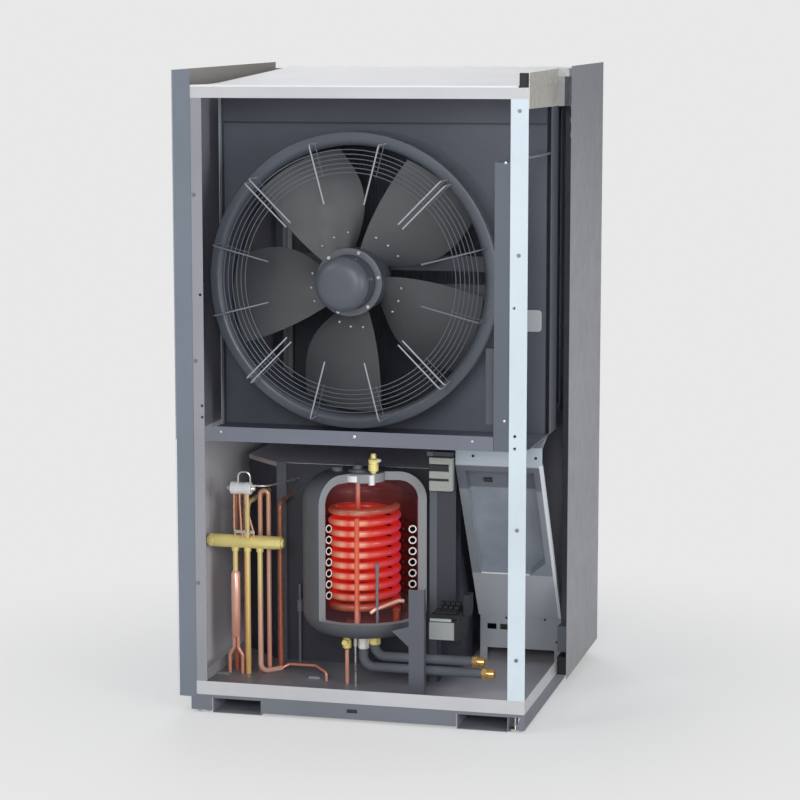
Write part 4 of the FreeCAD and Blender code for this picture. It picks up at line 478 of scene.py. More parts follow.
GUARD_RINGS, GUARD_PITCH, GUARD_RADIUS = 6, 11.8, 284.0
STAY_DEPTH, BASKET_DEPTH, SPOKE_IN, SPOKE_OUT = 121.0, 67.0, 211.0, 369.0
ring_wire = coat("ring_wire", (90, 94, 102), roughness=0.36, peel=0.03)
spoke_wire = zone(coat("spoke_wire", (156, 158, 164), roughness=0.3, peel=0.03), (108, 111, 118), soft=0.02,
                  z=(1.013, 1.273))
guard = [(tube(ring_path(GUARD_RADIUS + GUARD_PITCH * number, STAY_DEPTH), 1.3, 8, True), ring_wire)
         for number in range(GUARD_RINGS)]
spokes = [(quarter + lean, 0.0) for quarter in (0, 90, 180, 270) for lean in (-14.6, 14.6)]
spokes += [(diagonal, aside) for diagonal in (45, 135, 225, 315) for aside in (-8.0, 8.0)]


def spoke_place(angle, aside, radius, depth):
    """A place beside the spoke's radial line, from the fan axle."""
    heading = math.radians(angle)
    return AXLE + np.array([radius * math.cos(heading) - aside * math.sin(heading), depth,
                            radius * math.sin(heading) + aside * math.cos(heading)]) / 1000


for angle, aside in spokes:
    guard.append((tube(bent([spoke_place(angle, aside, SPOKE_IN, BASKET_DEPTH + 2),
                             spoke_place(angle, aside, SPOKE_OUT, BASKET_DEPTH),
                             spoke_place(angle, aside, SPOKE_OUT, RIM_FACE - SEAT_GAP)], 9), 2.1, 8), spoke_wire))
    guard.append((tube([spoke_place(angle, aside, GUARD_RADIUS - 4, STAY_DEPTH + 2.4),
                        spoke_place(angle, aside, SPOKE_OUT, STAY_DEPTH + 2.4)], 1.2, 8), ring_wire))
make("guard_basket", *zip(*guard), HOUSING, "wire_grey", ["fan_guard"])

# Impeller: five broad sickle blades of dark sheet, cambered and twisted, riveted to the hub drum.
# Each blade is a closed skin over radius and chord; its edges follow smooth curves through the stations.
BLADE_ROOT, BLADE_TIP, BLADE_FACE, BLADE_DEEP, BLADE_SHEET, CAMBER = 84.4, 346.6, 171.0, 74.0, 3.0, 9.0
SHARE = np.array([0.22, 0.48, 0.72, 0.9, 1.06])
RIGHT_EDGE = np.polyfit(SHARE, [33, 27, 23, 20, 18], 3)
LEFT_EDGE = np.polyfit(SHARE, [-21, -33, -29, -23, -17], 3)
FRONT_DEPTH = np.polyfit(SHARE, [0.02, 0.0, 0.0, 0.02, 0.06], 2)
BACK_DEPTH = np.polyfit(SHARE, [0.62, 0.74, 0.86, 0.95, 1.0], 2)
FIRST_BLADE, BLADE_STEPS, CHORD_STEPS, STATION_RADIUS = -97.0, 30, 24, 347.0


def blade_place(radius, chord, turn):
    """The blade's front face at a radius and a share of the chord: angle and depth run between its two edges,
    and a half sine across the chord bulges it toward the front."""
    station = radius / STATION_RADIUS
    angle = turn + np.polyval(RIGHT_EDGE, station) * (1 - chord) + np.polyval(LEFT_EDGE, station) * chord
    depth = np.polyval(FRONT_DEPTH, station) * (1 - chord) + np.polyval(BACK_DEPTH, station) * chord
    heading = np.radians(angle)
    along = BLADE_FACE + BLADE_DEEP * depth - CAMBER * np.sin(math.pi * chord)
    return np.stack([radius * np.cos(heading), along, radius * np.sin(heading)], axis=-1) / 1000 + AXLE


def blade(turn):
    """One closed blade wrapped round its chord, front face out and back face in, capped at root and tip;
    the sheet's thickness falls to its edges as the root of one minus a sixth power."""
    radius = np.linspace(BLADE_ROOT, BLADE_TIP, BLADE_STEPS)[:, None]
    forth = np.linspace(0.0, 1.0, CHORD_STEPS)
    out = np.broadcast_to(np.concatenate([forth, forth[::-1]])[None, :], (BLADE_STEPS, 2 * CHORD_STEPS))
    points = blade_place(radius, out, turn)
    thick = BLADE_SHEET * np.sqrt(np.clip(1.02 - (2 * out - 1) ** 6, 0, None))
    points[:, CHORD_STEPS:, 1] += thick[:, CHORD_STEPS:] / 1000
    vertices, quads = skin(points, wrap_v=True)
    front, back = np.arange(CHORD_STEPS), np.arange(2 * CHORD_STEPS - 1, CHORD_STEPS - 1, -1)
    for row in (0, (BLADE_STEPS - 1) * 2 * CHORD_STEPS):
        quads += np.stack([front[:-1] + row, front[1:] + row, back[1:] + row, back[:-1] + row], axis=1).tolist()
    return vertices, quads


make("fan_blade_set", [blade(FIRST_BLADE + 72 * number) for number in range(5)],
     [coat("blade_coat", (67, 69, 72), roughness=0.5, unevenness=0.1, scale=5.0)], ROTOR, "fan_plastic",
     ["fan_blades"], crease=50)

# Blade rivets: three domed steel heads at each blade's root, set through blade and hub arm.
# They are the only fixing of the blades.


def stud(place, radius, height, axis="y", sign=-1):
    """A domed head: a quarter arc turned about an axis through its seat."""
    swing = np.radians(np.linspace(0, 90, 6))
    profile = np.stack([radius * np.cos(swing), sign * height * np.sin(swing)], axis=1)
    return lathe(np.concatenate([[(0, -sign * 0.6)], [(radius, -sign * 0.6)], profile]), place, axis, 16)


RIVET_RADIUS = np.array(125.0)
make("blade_rivets", [stud(blade_place(RIVET_RADIUS, np.array(chord), FIRST_BLADE + 72 * number), 4.6, 2.6)
                      for number in range(5) for chord in (0.22, 0.5, 0.78)],
     [galvanised("rivet_steel", (150, 150, 152), roughness=0.35, metallic=0.8)], ROTOR, "bolt_steel")

# Motor: a domed external rotor inside the hub drum, and the stator that carries it from the bracket behind.
# The dome is cast aluminium in grey enamel, nearly flat in front with a rounded edge.
NOSE, DOME_RISE, ROTOR_RADIUS, ROTOR_END, DRUM_FACE = 25.0, 20.0, 71.0, 203.0, 113.0
motor_enamel = coat("motor_enamel", (74, 79, 88), roughness=0.42, peel=0.1)
dome_radius = ROTOR_RADIUS * np.sin(np.radians(np.linspace(0, 90, 16)))
dome_line = np.stack([dome_radius, NOSE + DOME_RISE * (dome_radius / ROTOR_RADIUS) ** 5], axis=1)
rotor_profile = np.concatenate([dome_line, [(ROTOR_RADIUS, ROTOR_END), (15.05, ROTOR_END), (15.05, 162),
                                            (0, 162)]])
make("rotor", [lathe(rotor_profile, AXLE)], [motor_enamel], ROTOR, "motor_grey", ["motor_rotor"])
hub_profile = np.concatenate([[(71.3, DRUM_FACE + 1)], [(72.3, DRUM_FACE)],
                              arc((87.5, DRUM_FACE + 1.5), 1.5, -90, 0, 4),
                              [(89, DRUM_FACE + 6), (84, DRUM_FACE + 7), (84, 221), (71.3, 221)]])
make("hub", [lathe(hub_profile, AXLE)], [coat("hub_coat", (84, 88, 96), roughness=0.4)], ROTOR, "ring_grey",
     ["fan_hub"])
dress(motor_enamel, "motor_stator")
dress(coat("bracket_coat", (70, 74, 83), roughness=0.5), "motor_bracket")
dress(coat("box_coat", (66, 70, 78), roughness=0.45), "junction_box")

# Compressor enclosure: a closed sound housing of dark sheet with light folded edge strips.
# The slanted top edge strip is the palest of them.
# The enclosure's top face is painted light: lighter where it lies in shade under the shelf.
dress(zone(coat("enclosure_coat", (56, 57, 67), roughness=0.5), (214, 212, 224), z=(0.6110, 0.6135)),
      "compressor_enclosure")
trim_coat = zone(coat("trim_coat", (100, 103, 113), roughness=0.38), (186, 174, 172), x=(-0.46, -0.3325),
                 z=(0.59, 0.70))
dress(trim_coat, "enclosure_trim")

# Refrigerant pipes: drawn copper tube, bent on a former and brazed into the valve's ports.
# Brazing heat has turned the ends near the valve golden; farther down the copper is pink.


def drawn_metal(name, stops, roughness=0.26, streak=(12.0, 12.0, 2.0), metallic=0.3, tarnish=0.06):
    """Drawn or turned metal: a ramp over the height gives its heat tint, a wide noise tarnishes it,
    and noise stretched along the height draws its lines."""
    material, tree, shader, place = shaded(name)
    heat_tint_and_glow = ramp(tree, node(tree, "SeparateXYZ", {"Vector": place}).outputs["Z"], stops)
    dim = ranged(tree, noise(tree, place, 14.0, 5.0), 0.34, 0.58, 1.0 - tarnish)
    lines = noise(tree, node(tree, "Mapping", {"Vector": place, "Scale": streak}).outputs["Vector"], 16.0, 3.0)
    fill(tree, shader, {"Metallic": metallic, "Base Color": blended(tree, 1.0, heat_tint_and_glow, dim, "MULTIPLY"),
                        "Roughness": ranged(tree, lines, low=max(roughness - 0.08, 0.06), high=roughness + 0.05),
                        "Normal": bumped(tree, lines, 0.03, 0.0004)})
    return material


def pipe(radius, sides, bend, *places, steps=8):
    """A bent tube through places counted in millimetres as at() does."""
    return tube(bent([at(*place) for place in places], bend, steps), radius, sides)


GOLD, PINK, RUSSET = (250, 226, 158), (244, 192, 172), (196, 104, 78)
gold_pipe = drawn_metal("golden_pipe", [(0.06, (238, 196, 120)), (0.4, GOLD)])
gilt_copper = drawn_metal("gilt_copper", [(0.05, PINK), (0.24, (244, 196, 164)), (0.33, GOLD)])
pink_copper = drawn_metal("pink_copper", [(0.05, (226, 156, 130)), (0.30, PINK), (0.56, (226, 170, 140))])
red_copper = drawn_metal("russet_copper", [(0.05, RUSSET), (0.45, (186, 124, 94))], roughness=0.3)
VALVE_DEPTH, VALVE_HEIGHT, UNDER, OVER, PAN_TOP, ENCLOSURE_FACE = 225.0, 371.0, 343.7, 398.3, 4.6, 401.7
PORTS = (53.0, 88.0, 123.0)
make("valve_pipe_set", [
    pipe(7.5, 20, 0, (PORTS[1], VALVE_DEPTH, UNDER), (PORTS[1], VALVE_DEPTH, PAN_TOP)),
    pipe(7.0, 20, 22, (PORTS[1], VALVE_DEPTH, OVER), (PORTS[1], VALVE_DEPTH, 478), (PORTS[1], 424, 478)),
    pipe(7.0, 20, 24, (PORTS[2], VALVE_DEPTH, UNDER), (PORTS[2], VALVE_DEPTH, 12), (167, 277, 12))],
     [gold_pipe, gold_pipe, gilt_copper], HOUSING, "copper", ["valve_pipes"])
loops = [pipe(6.5, 20, (right - left) / 2 - 0.2, (left, 265, PAN_TOP), (left, 265, top), (right, 265, top),
              (right, 265, PAN_TOP), steps=12) for left, right, top in ((43, 70, 498), (112, 136, 506))]
loops.append(pipe(7.0, 20, 20, (158, 299, PAN_TOP), (158, 299, 470), (158, ENCLOSURE_FACE, 470)))
make("loop_pipe_set", loops, [red_copper, pink_copper, red_copper], HOUSING, "copper", ["loop_pipes"])
SLEEVE_LOW, SLEEVE_TOP, SLEEVE_RADIUS = 105.0, 289.0, 12.5
sleeve_profile = [(0, SLEEVE_LOW), (8, SLEEVE_LOW), (SLEEVE_RADIUS, SLEEVE_LOW + 8),
                  (SLEEVE_RADIUS, SLEEVE_TOP - 8), (8, SLEEVE_TOP), (0, SLEEVE_TOP)]
branch = [lathe(sleeve_profile, at(PORTS[0], VALVE_DEPTH, 0), "z", 32),
          pipe(7.0, 20, 0, (PORTS[0], VALVE_DEPTH, UNDER), (PORTS[0], VALVE_DEPTH, SLEEVE_TOP - 2))]
branch += [pipe(5.0, 16, 14, (near, VALVE_DEPTH, SLEEVE_LOW + 5), (near, VALVE_DEPTH, SLEEVE_LOW - 30),
                (far, VALVE_DEPTH, SLEEVE_LOW - 50), (far, VALVE_DEPTH, PAN_TOP))
           for near, far in ((PORTS[0] - 6, PORTS[0] - 18), (PORTS[0] + 6, PORTS[0] + 18))]
make("branch_pipe_set", branch, [pink_copper, gold_pipe, pink_copper, pink_copper],
     HOUSING, "copper", ["branch_pipe"])
make("liquid_line", [pipe(4.0, 14, 9, (167.7, 277.8, 12), (186, 285, 22), (269, 262, 28), (316, 200, 26),
                          (316, 200, PAN_TOP))], [pink_copper], HOUSING, "copper", ["liquid_pipe"])
dress(pink_copper, "return_bends")

# Reversing valve: a turned brass barrel lying across, with plugged ends and four brazed stubs.
# Two fine grooves near its ends mark the seats of the end caps.
brass = drawn_metal("turned_brass", [(0.0, (252, 230, 142)), (0.5, (253, 236, 154))], streak=(6.0, 60.0, 60.0),
                    metallic=0.25, tarnish=0.08)
barrel_profile = [(0, -24), (12, -24), (13, -23), (13, -18), (16.5, -18), (18, -16.5), (18, -6), (17.2, -5),
                  (17.2, -2), (18, -1), (18, 169), (17.2, 170), (17.2, 173), (18, 174), (18, 184.5), (16.5, 186),
                  (13, 186), (13, 191), (12, 192), (0, 192)]
stub_profile = [(0, 16), (10, 16), (10, 25), (9, 27), (8, 27.2), (0, 27.2)]
low_stub = [(radius, -reach) for radius, reach in stub_profile]
stubs = [(stub_profile, PORTS[1])] + [(low_stub, port) for port in PORTS]
valve = [lathe(barrel_profile, at(0, VALVE_DEPTH, VALVE_HEIGHT), "x", 64)]
valve += [lathe(profile, at(port, VALVE_DEPTH, VALVE_HEIGHT), "z", 32) for profile, port in stubs]
make("valve_body", valve, [brass], HOUSING, "brass", ["reversing_valve"])

# Pilot: a pale moulded coil in front of the valve on a narrow strap, with three capillary tubes,
# a wire loop on top, a clip plate over the tubes and a thin lead to the housing behind.


def cuboid(low, high, chamfer=0.6):
    """A box between two places in millimetres with its edges cut: eight corners, each split into three points
    a chamfer away, give six inner faces, twelve edge strips and eight corner triangles by their hull."""
    low, high = at(*low), at(*high)
    x, y, z = np.meshgrid((low[0], high[0]), (low[1], high[1]), (low[2], high[2]), indexing="ij")
    corners = np.stack([x.ravel(), y.ravel(), z.ravel()], axis=1)
    inward = np.sign(np.mean([low, high], axis=0) - corners) * chamfer / 1000
    hull = bmesh.new()
    for corner, step in zip(corners, inward):
        for keep in np.eye(3):
            hull.verts.new(corner + step * (1 - keep))
    bmesh.ops.convex_hull(hull, input=hull.verts)
    hull.verts.index_update()
    points = np.array([vertex.co[:] for vertex in hull.verts])
    faces = [[vertex.index for vertex in face.verts] for face in hull.faces]
    hull.free()
    return points, faces


pilot_shell = coat("pilot_shell", (226, 228, 226), roughness=0.3, unevenness=0.05)
clip_steel = galvanised("clip_steel", (224, 222, 216), roughness=0.3)
VALVE_RADIUS, PILOT_RADIUS, PILOT_HEIGHT, LOOP_TOP, LEAD = 18.0, 17.0, 524.0, 568, 532
PILOT_DEPTH = VALVE_DEPTH - VALVE_RADIUS - PILOT_RADIUS - SEAT_GAP
coil_profile = [(0, 54), (15, 54), (17, 56), (17, 72), (15.4, 73), (15.4, 93), (17, 94), (17, 110), (15, 112),
                (0, 112)]
stem_profile = [(0, 44), (5.5, 44), (6.8, 45.5), (6.8, 120), (5.5, 122), (0, 122)]
pilot = [lathe(coil_profile, at(0, PILOT_DEPTH, PILOT_HEIGHT), "x", 40),
         lathe(stem_profile, at(0, PILOT_DEPTH, PILOT_HEIGHT), "x", 24),
         cuboid((97, PILOT_DEPTH - 1, 389), (104, PILOT_DEPTH + 1, 515)),
         cuboid((97, PILOT_DEPTH - 1, 387), (104, VALVE_DEPTH, 390)),
         cuboid((56, 204, 397), (114, 207, 406)),
         cuboid((97, PILOT_DEPTH, 397), (104, 207, 400))]
pilot += [pipe(2.5, 10, 6, (start, PILOT_DEPTH, PILOT_HEIGHT), (start, PILOT_DEPTH - 0.01, 484),
               (end + 0.01, PILOT_DEPTH + 12, 411), (end + 0.01, PILOT_DEPTH + 24, 384), steps=6)
          for start, end in ((62, 58), (78, 78), (94, 110))]
pilot.append(pipe(2.5, 10, 14, (74, PILOT_DEPTH, PILOT_HEIGHT), (74, PILOT_DEPTH, LOOP_TOP),
                  (108, PILOT_DEPTH, LOOP_TOP), (108, PILOT_DEPTH, PILOT_HEIGHT)))
pilot.append(pipe(2.5, 10, 20, (94, PILOT_DEPTH, LEAD), (154, PILOT_DEPTH, LEAD), (184, ENCLOSURE_FACE, 520)))
make("pilot_assembly", pilot, [pilot_shell, clip_steel, gold_pipe, gold_pipe, clip_steel, clip_steel]
     + [pink_copper] * 3 + [clip_steel] * 2, HOUSING, "pilot_white", ["pilot_valve"])
dress(coat("rod_grey", (112, 114, 122), roughness=0.4), "sensor_rods")
dress(galvanised("clip_zinc", (170, 176, 182)), "floor_clips")

# Condenser tank: a thick insulated shell, cut open in a wedge so that its wall, liner and coils show.
# The upper part is a sector of a revolved wall with cut faces, and the bottom stays whole below the sill.
TANK = at(417, 225, 147)
TANK_RADIUS, TANK_WALL, TANK_TOP, SHOULDER, HEEL, SILL, CROWN = 166.0, 23.0, 430.0, 76.0, 60.0, 48.0, 54.0
WINDOW = (-122.0, 15.0)
INSIDE, COIL_SEAT = TANK_RADIUS - TANK_WALL, TANK_WALL + 0.6
GLOW_LOW, GLOW_HIGH, DIP_PLACE, VENT_PLACE = 0.2, 0.66, -0.019, 0.030


def shell_profile(offset, start):
    """The tank's outline from its heel to its crown at an inward offset: two arcs and a straight side."""
    heel = arc((TANK_RADIUS - HEEL, HEEL), HEEL - offset, start, 0, 16)
    shoulder = arc((TANK_RADIUS - SHOULDER, TANK_TOP - SHOULDER), SHOULDER - offset, 0, 90, 16)
    return np.concatenate([heel, shoulder, [(0, TANK_TOP - offset)]])


def glow_painted_metal(name, no_glow_colour, painted_glow, strength, metallic=0.3, roughness=0.26):
    """Metal with a painted glow between two heights: a soft ramp on the height mixes a plain tint into the painted
    glow colour, which also feeds the emission.
    """
    material, tree, shader, place = shaded(name)
    height = ranged(tree, node(tree, "SeparateXYZ", {"Vector": place}).outputs["Z"], GLOW_LOW, GLOW_HIGH)
    heat_tint_and_glow = ramp(tree, height, [(0.0, no_glow_colour), (0.2, painted_glow), (0.72, painted_glow), (0.9, no_glow_colour)])
    tint = blended(tree, 1.0, heat_tint_and_glow, ranged(tree, noise(tree, place, 18.0, 3.0), low=0.7, high=1.15), "MULTIPLY")
    fill(tree, shader, {"Metallic": metallic, "Roughness": roughness, "Emission Strength": strength,
                        "Base Color": tint, "Emission Color": tint})
    return material


jacket = coat("tank_jacket", (84, 88, 93), roughness=0.5, unevenness=0.08, peel=0.12)
# The inner wall carries the coil's red light as a painted glow.
inner_metal = glow_painted_metal("glow_painted_inner_wall", (186, 158, 168), (120, 60, 62), 0.03, metallic=0.7, roughness=0.2)
cut_edge = coat("cut_insulation", (146, 149, 152), roughness=0.7, peel=0.3, unevenness=0.05)
fitting_white = coat("fitting_white", (236, 236, 234), roughness=0.35, peel=0.02, unevenness=0.03, metallic=0.2)


def on_tank(profile, across, depth, sides):
    """A turned fitting that stands on the tank at a place beside its axis, in metres."""
    return lathe(profile, TANK + np.array([across, depth, 0]), "z", sides)


outer_start = -math.degrees(math.asin((HEEL - SILL) / HEEL))
inner_start = -math.degrees(math.asin((HEEL - SILL) / (HEEL - TANK_WALL)))
outer_line = shell_profile(0.0, outer_start)
inner_line = shell_profile(TANK_WALL, inner_start)
rest_of_turn = (WINDOW[1], WINDOW[0] + 360.0)
cup_outer = np.concatenate([[(0, 0)], arc((TANK_RADIUS - HEEL, HEEL), HEEL, -90, outer_start, 14)])
cup_inner = np.concatenate([[(0, TANK_WALL)],
                            arc((TANK_RADIUS - HEEL, HEEL), HEEL - TANK_WALL, -90, inner_start, 14)])
section = np.concatenate([outer_line, inner_line[::-1]])


def cut_face(turn):
    """The flat face of the wall where the wedge was cut, as quads between its two outlines at one angle."""
    heading = math.radians(turn)
    across, height = section.T
    points = np.stack([across * math.cos(heading), across * math.sin(heading), height], axis=1)
    quads = [[i, i + 1, len(section) - 2 - i, len(section) - 1 - i] for i in range(len(outer_line) - 1)]
    return points / 1000 + TANK, quads


crown_disc = lathe([(0, TANK_TOP - TANK_WALL), (CROWN, TANK_TOP - TANK_WALL), (CROWN, TANK_TOP), (0, TANK_TOP)],
                   TANK, "z", 48, (WINDOW[0] + 0.2, WINDOW[1] - 0.2))
neck = [(0, 429), (26, 429), (26, 436), (24, 437), (15, 437), (14, 438), (14, 447), (12, 449), (0, 449)]
cap = [(0, 429), (15.6, 429), (15.6, 438), (13, 441), (0, 441)]
nipple = [(0, 402), (9, 402), (9, 428), (7, 430), (0, 430)]
flange = [(0, 409), (22, 409), (23, 410), (23, 425), (22, 426), (0, 426)]
wall_parts = [(lathe(outer_line, TANK, "z", 160, rest_of_turn, False), jacket),
              (lathe(cup_outer, TANK, "z", 160, closed=False), jacket), (crown_disc, cut_edge),
              (on_tank(flange, DIP_PLACE, -0.034, 40), fitting_white),
              (on_tank(neck, DIP_PLACE, 0, 40), trim_coat),
              (on_tank(cap, -0.076, 0, 32), trim_coat),
              (on_tank(nipple, VENT_PLACE, -0.041, 24), fitting_white),
              (lathe(inner_line, TANK, "z", 160, rest_of_turn, False), inner_metal),
              (lathe(cup_inner, TANK, "z", 160, closed=False), inner_metal),
              (lathe([outer_line[0], inner_line[0]], TANK, "z", 160, closed=False), cut_edge),
              (cut_face(WINDOW[0]), cut_edge), (cut_face(WINDOW[1]), cut_edge)]
make("tank_wall", *zip(*wall_parts), HOUSING, "shell_grey", ["tank_shell"])

# Liner: thin steel against the shell, with a painted dark red glow standing for the light of the coil in front of
# it.
# It ends below the dome.
liner_steel = glow_painted_metal("glow_painted_liner", (150, 122, 130), (116, 60, 60), 0.08, metallic=0.6)
liner_line = [(INSIDE - 0.4, 62), (INSIDE - 0.4, 352), (INSIDE - 2.4, 352), (INSIDE - 2.4, 62)]
make("liner_wall", [lathe(liner_line, TANK, "z", 120, (WINDOW[1] + 0.4, WINDOW[0] + 359.6))],
     [liner_steel], HOUSING, "liner_red", ["tank_liner"])

# Coils: an inner hot-gas coil of ten close turns with a painted glow, and an outer coil whose cut turns end in
# open bores.
# The inner one's glow is painted: deep red between the turns as painted shade, and painted highlights cream on the
# crests left of its middle and magenta at the right.
TURN_STEPS, COIL_HALF, CREST_START, CREST_END, GLOW_BAND_LOW, GLOW_BAND_HIGH = 72, 0.1, 0.0915, 0.0975, 0.23, 0.56


def helix(radius, low, pitch, start, turns):
    """A climbing circle about the tank's axis."""
    share = np.linspace(0, turns, int(turns * TURN_STEPS) + 1)
    heading = np.radians(start) + share * 2 * math.pi
    climb = low + pitch * share
    return np.stack([radius * np.cos(heading), radius * np.sin(heading), climb], axis=1) / 1000 + TANK


def open_pipe(path, outer, inner, sides=24):
    """A pipe with its bore open at both ends, as three parts that share their points: the outer skin runs out
    along the path, the bore runs back, and two rings join them."""
    outside = tube(path, outer, sides)[0].reshape(-1, sides, 3)
    inside = tube(path, inner, sides)[0].reshape(-1, sides, 3)
    points, quads = skin(np.concatenate([outside, inside[::-1]]), wrap_u=True, wrap_v=True)
    run = (len(path) - 1) * sides
    return [(points, quads[:run]), (points, quads[run + sides:2 * run + sides]),
            (points, quads[run:run + sides] + quads[2 * run + sides:])]


def glowing(name, strength):
    """Copper with a painted glow: the distance from the tank's axis mixes a deep red, painted as shade between the
    turns, into painted highlight colours on the crests, and a ramp across the tank turns the crests cream near the
    middle and magenta at the right. The end turns get no painted glow."""
    material, tree, shader, place = shaded(name)
    centred = node(tree, "Mapping", {"Vector": place, "Location": (-TANK[0], -TANK[1], 0.0)})
    apart = node(tree, "SeparateXYZ", {"Vector": centred.outputs["Vector"]}).outputs
    flat = node(tree, "CombineXYZ", {"X": apart["X"], "Y": apart["Y"]}).outputs["Vector"]
    crest_highlight = ramp(tree, ranged(tree, apart["X"], -COIL_HALF, COIL_HALF), [
        (0.0, (214, 84, 70)), (0.12, (216, 104, 88)), (0.30, (240, 182, 152)), (0.40, (216, 86, 66)),
        (0.53, (244, 200, 168)), (0.68, (218, 96, 80)), (0.86, (212, 62, 66)), (1.0, (200, 40, 80))])
    crest_light_and_shade = blended(tree, ranged(tree, length(tree, flat), CREST_START, CREST_END), tone(206, 34, 26), crest_highlight)
    painted_glow = ramp(tree, ranged(tree, apart["Z"], GLOW_BAND_LOW, GLOW_BAND_HIGH), [
        (height, (share, share, share, 1.0))
        for height, share in ((0.0, 0.0), (0.12, 0.1), (0.26, 1.0), (0.84, 1.0), (0.95, 0.0))])
    skin_tint = blended(tree, painted_glow, tone(206, 112, 88), crest_light_and_shade)
    fill(tree, shader, {"Metallic": 0.0, "Emission Strength": strength,
                        "Base Color": blended(tree, 1.0, skin_tint, (0.45, 0.4, 0.4, 1.0), "MULTIPLY"),
                        "Emission Color": blended(tree, painted_glow, tone(60, 16, 12), crest_light_and_shade),
                        "Roughness": ranged(tree, noise(tree, place, 60.0), low=0.2, high=0.4)})
    return material


glow_painted_coil = glowing("glowing_coil", 0.5)
INNER_RADIUS, INNER_LOW, INNER_PITCH, INNER_TURNS = 87.0, 55.0, 28.6, 10
foot = TANK + np.array([[INNER_RADIUS, 0, COIL_SEAT], [INNER_RADIUS, 0, INNER_LOW]]) / 1000
make("inner_coil_winding", [tube(helix(INNER_RADIUS, INNER_LOW, INNER_PITCH, 0, INNER_TURNS), 10.4, 22),
                            tube(foot, 9.4, 20)], [glow_painted_coil], HOUSING, "hot_copper", ["inner_coil"])
OUTER_RADIUS, OUTER_LOW, OUTER_PITCH, OUTER_TUBE, OUTER_BORE = 128.0, 93.0, 30.0, 10.8, 7.4
# The cut ends are painted near white: painted highlight on the cut faces of the copper tubes.
cut_end_highlight = galvanised("painted_cut_end_highlight", (244, 236, 230), roughness=0.3, metallic=0.3)
outer_turns = []
for number in range(7):
    outer_turns += open_pipe(helix(OUTER_RADIUS, OUTER_LOW + OUTER_PITCH * number, OUTER_PITCH, WINDOW[1] + 1,
                                   (WINDOW[0] + 360 - WINDOW[1] - 2) / 360), OUTER_TUBE, OUTER_BORE)
dim_copper = coat("dim_copper", (112, 52, 46), roughness=0.35, metallic=0.5)
# The bores are painted near black: painted shade inside the tubes.
painted_bore_shade = coat("painted_bore_shade", (20, 12, 14), roughness=0.7)
combs = [on_tank([(0, COIL_SEAT), (4, COIL_SEAT), (4, 288), (0, 288)], OUTER_RADIUS * math.cos(turn) / 1000,
                 OUTER_RADIUS * math.sin(turn) / 1000, 12) for turn in np.radians((50, 130, 200))]
make("outer_coil_arcs", outer_turns + combs, [dim_copper, painted_bore_shade, cut_end_highlight] * 7 + [dim_copper] * 3,
     HOUSING, "copper", ["outer_coil"])
# The risers carry a painted glow from the coil's light.
riser_copper = glow_painted_metal("riser_copper", (214, 172, 156), (214, 96, 70), 0.14)
riser_profile = [(0, COIL_SEAT), (6.5, COIL_SEAT), (6.5, 320), (5, 322), (0, 322)]
dip_profile = [(0, COIL_SEAT), (6.5, COIL_SEAT), (6.5, 406.4), (0, 406.4)]
make("riser_pair", [on_tank(riser_profile, 0.006, -0.1043, 24), on_tank(dip_profile, DIP_PLACE, 0, 24)],
     [riser_copper], HOUSING, "copper", ["riser_tubes"])
make("coil_tail", [pipe(5.2, 18, 8, (458, 130, 214), (470, 134, 224), (528, 164, 245), (537, 172, 242))],
     [pink_copper], HOUSING, "copper")

# Tank fittings: a brass air vent on the crown, and the drain valve, insulated pipes and unions on the water side.
# The two nuts under the tank are brass and white, and the pipes wear grey foam.
WATER_DEPTH, UNDER_TANK = 185, 146.7
vent_profile = [(0, 0.3), (8, 0.3), (8, 5), (13.8, 7), (13.8, 24), (12.6, 25), (12.6, 27), (13.8, 28), (13.8, 37),
                (11, 40), (7.5, 41), (7.5, 50), (6, 54), (0, 54)]
side_profile = [(0, 0), (5.6, 0), (5.6, 16), (4, 16), (4, 20), (0, 22)]
vent_place = TANK + np.array([VENT_PLACE, -0.022, TANK_TOP / 1000])
make("vent", [lathe(vent_profile, vent_place, "z", 36),
              lathe(side_profile, vent_place + np.array([0, 0, 0.035]), "x", 20)],
     [brass, fitting_white], HOUSING, "brass", ["air_vent"])
drain_place = at(378, WATER_DEPTH, UNDER_TANK)
drain_profile = [(0, 0), (13, 0), (13, -13), (10, -15), (10, -20), (12, -22), (12, -42), (9, -46), (0, -50)]
tail_profile = [(0, -49), (5.5, -49), (5.5, -141.8), (0, -141.8)]
lever_profile = [(0, 0), (6, 0), (6, -16), (7.8, -17), (7.8, -26), (0, -27)]
fill_profile = [(0, 0), (5.5, 0), (5.5, -39), (3.5, -40), (3.5, -141.8), (0, -141.8)]
make("drain", [lathe(drain_profile, drain_place, "z", 36), lathe(tail_profile, drain_place, "z", 24),
               lathe(lever_profile, drain_place + np.array([0, 0, -0.025]), "y", 24),
               lathe(fill_profile, at(401.5, WATER_DEPTH, UNDER_TANK), "z", 20)],
     [brass, pink_copper, brass, zinc_bright], HOUSING, "brass", ["drain_valve"])
union_brass = drawn_metal("union_brass", [(0.0, (214, 170, 104)), (0.5, (230, 196, 130))], roughness=0.28,
                          metallic=0.7, tarnish=0.3)
pipe_foam = coat("pipe_foam", (96, 100, 108), roughness=0.75, peel=0.5, unevenness=0.1)
water_runs = [pipe(13.0, 24, 30, (x, WATER_DEPTH, top), (x, WATER_DEPTH, z), (far, WATER_DEPTH, z), steps=12)
              for x, top, z, far in ((455, 116.4, 86, 722), (424, 103.4, 55, 748))]
make("water_pipe_set", water_runs, [pipe_foam], HOUSING, "pipe_foam", ["water_pipes"])
union_line = [(9.5, 34), (9.5, 12.3), (0, 12.3), (0, 0), (13, 0), (13, 31), (12, 34)]
nut_line = [(12.8, 0), (17.1, 1.5), (17.1, 13.8), (12.8, 15.3)]
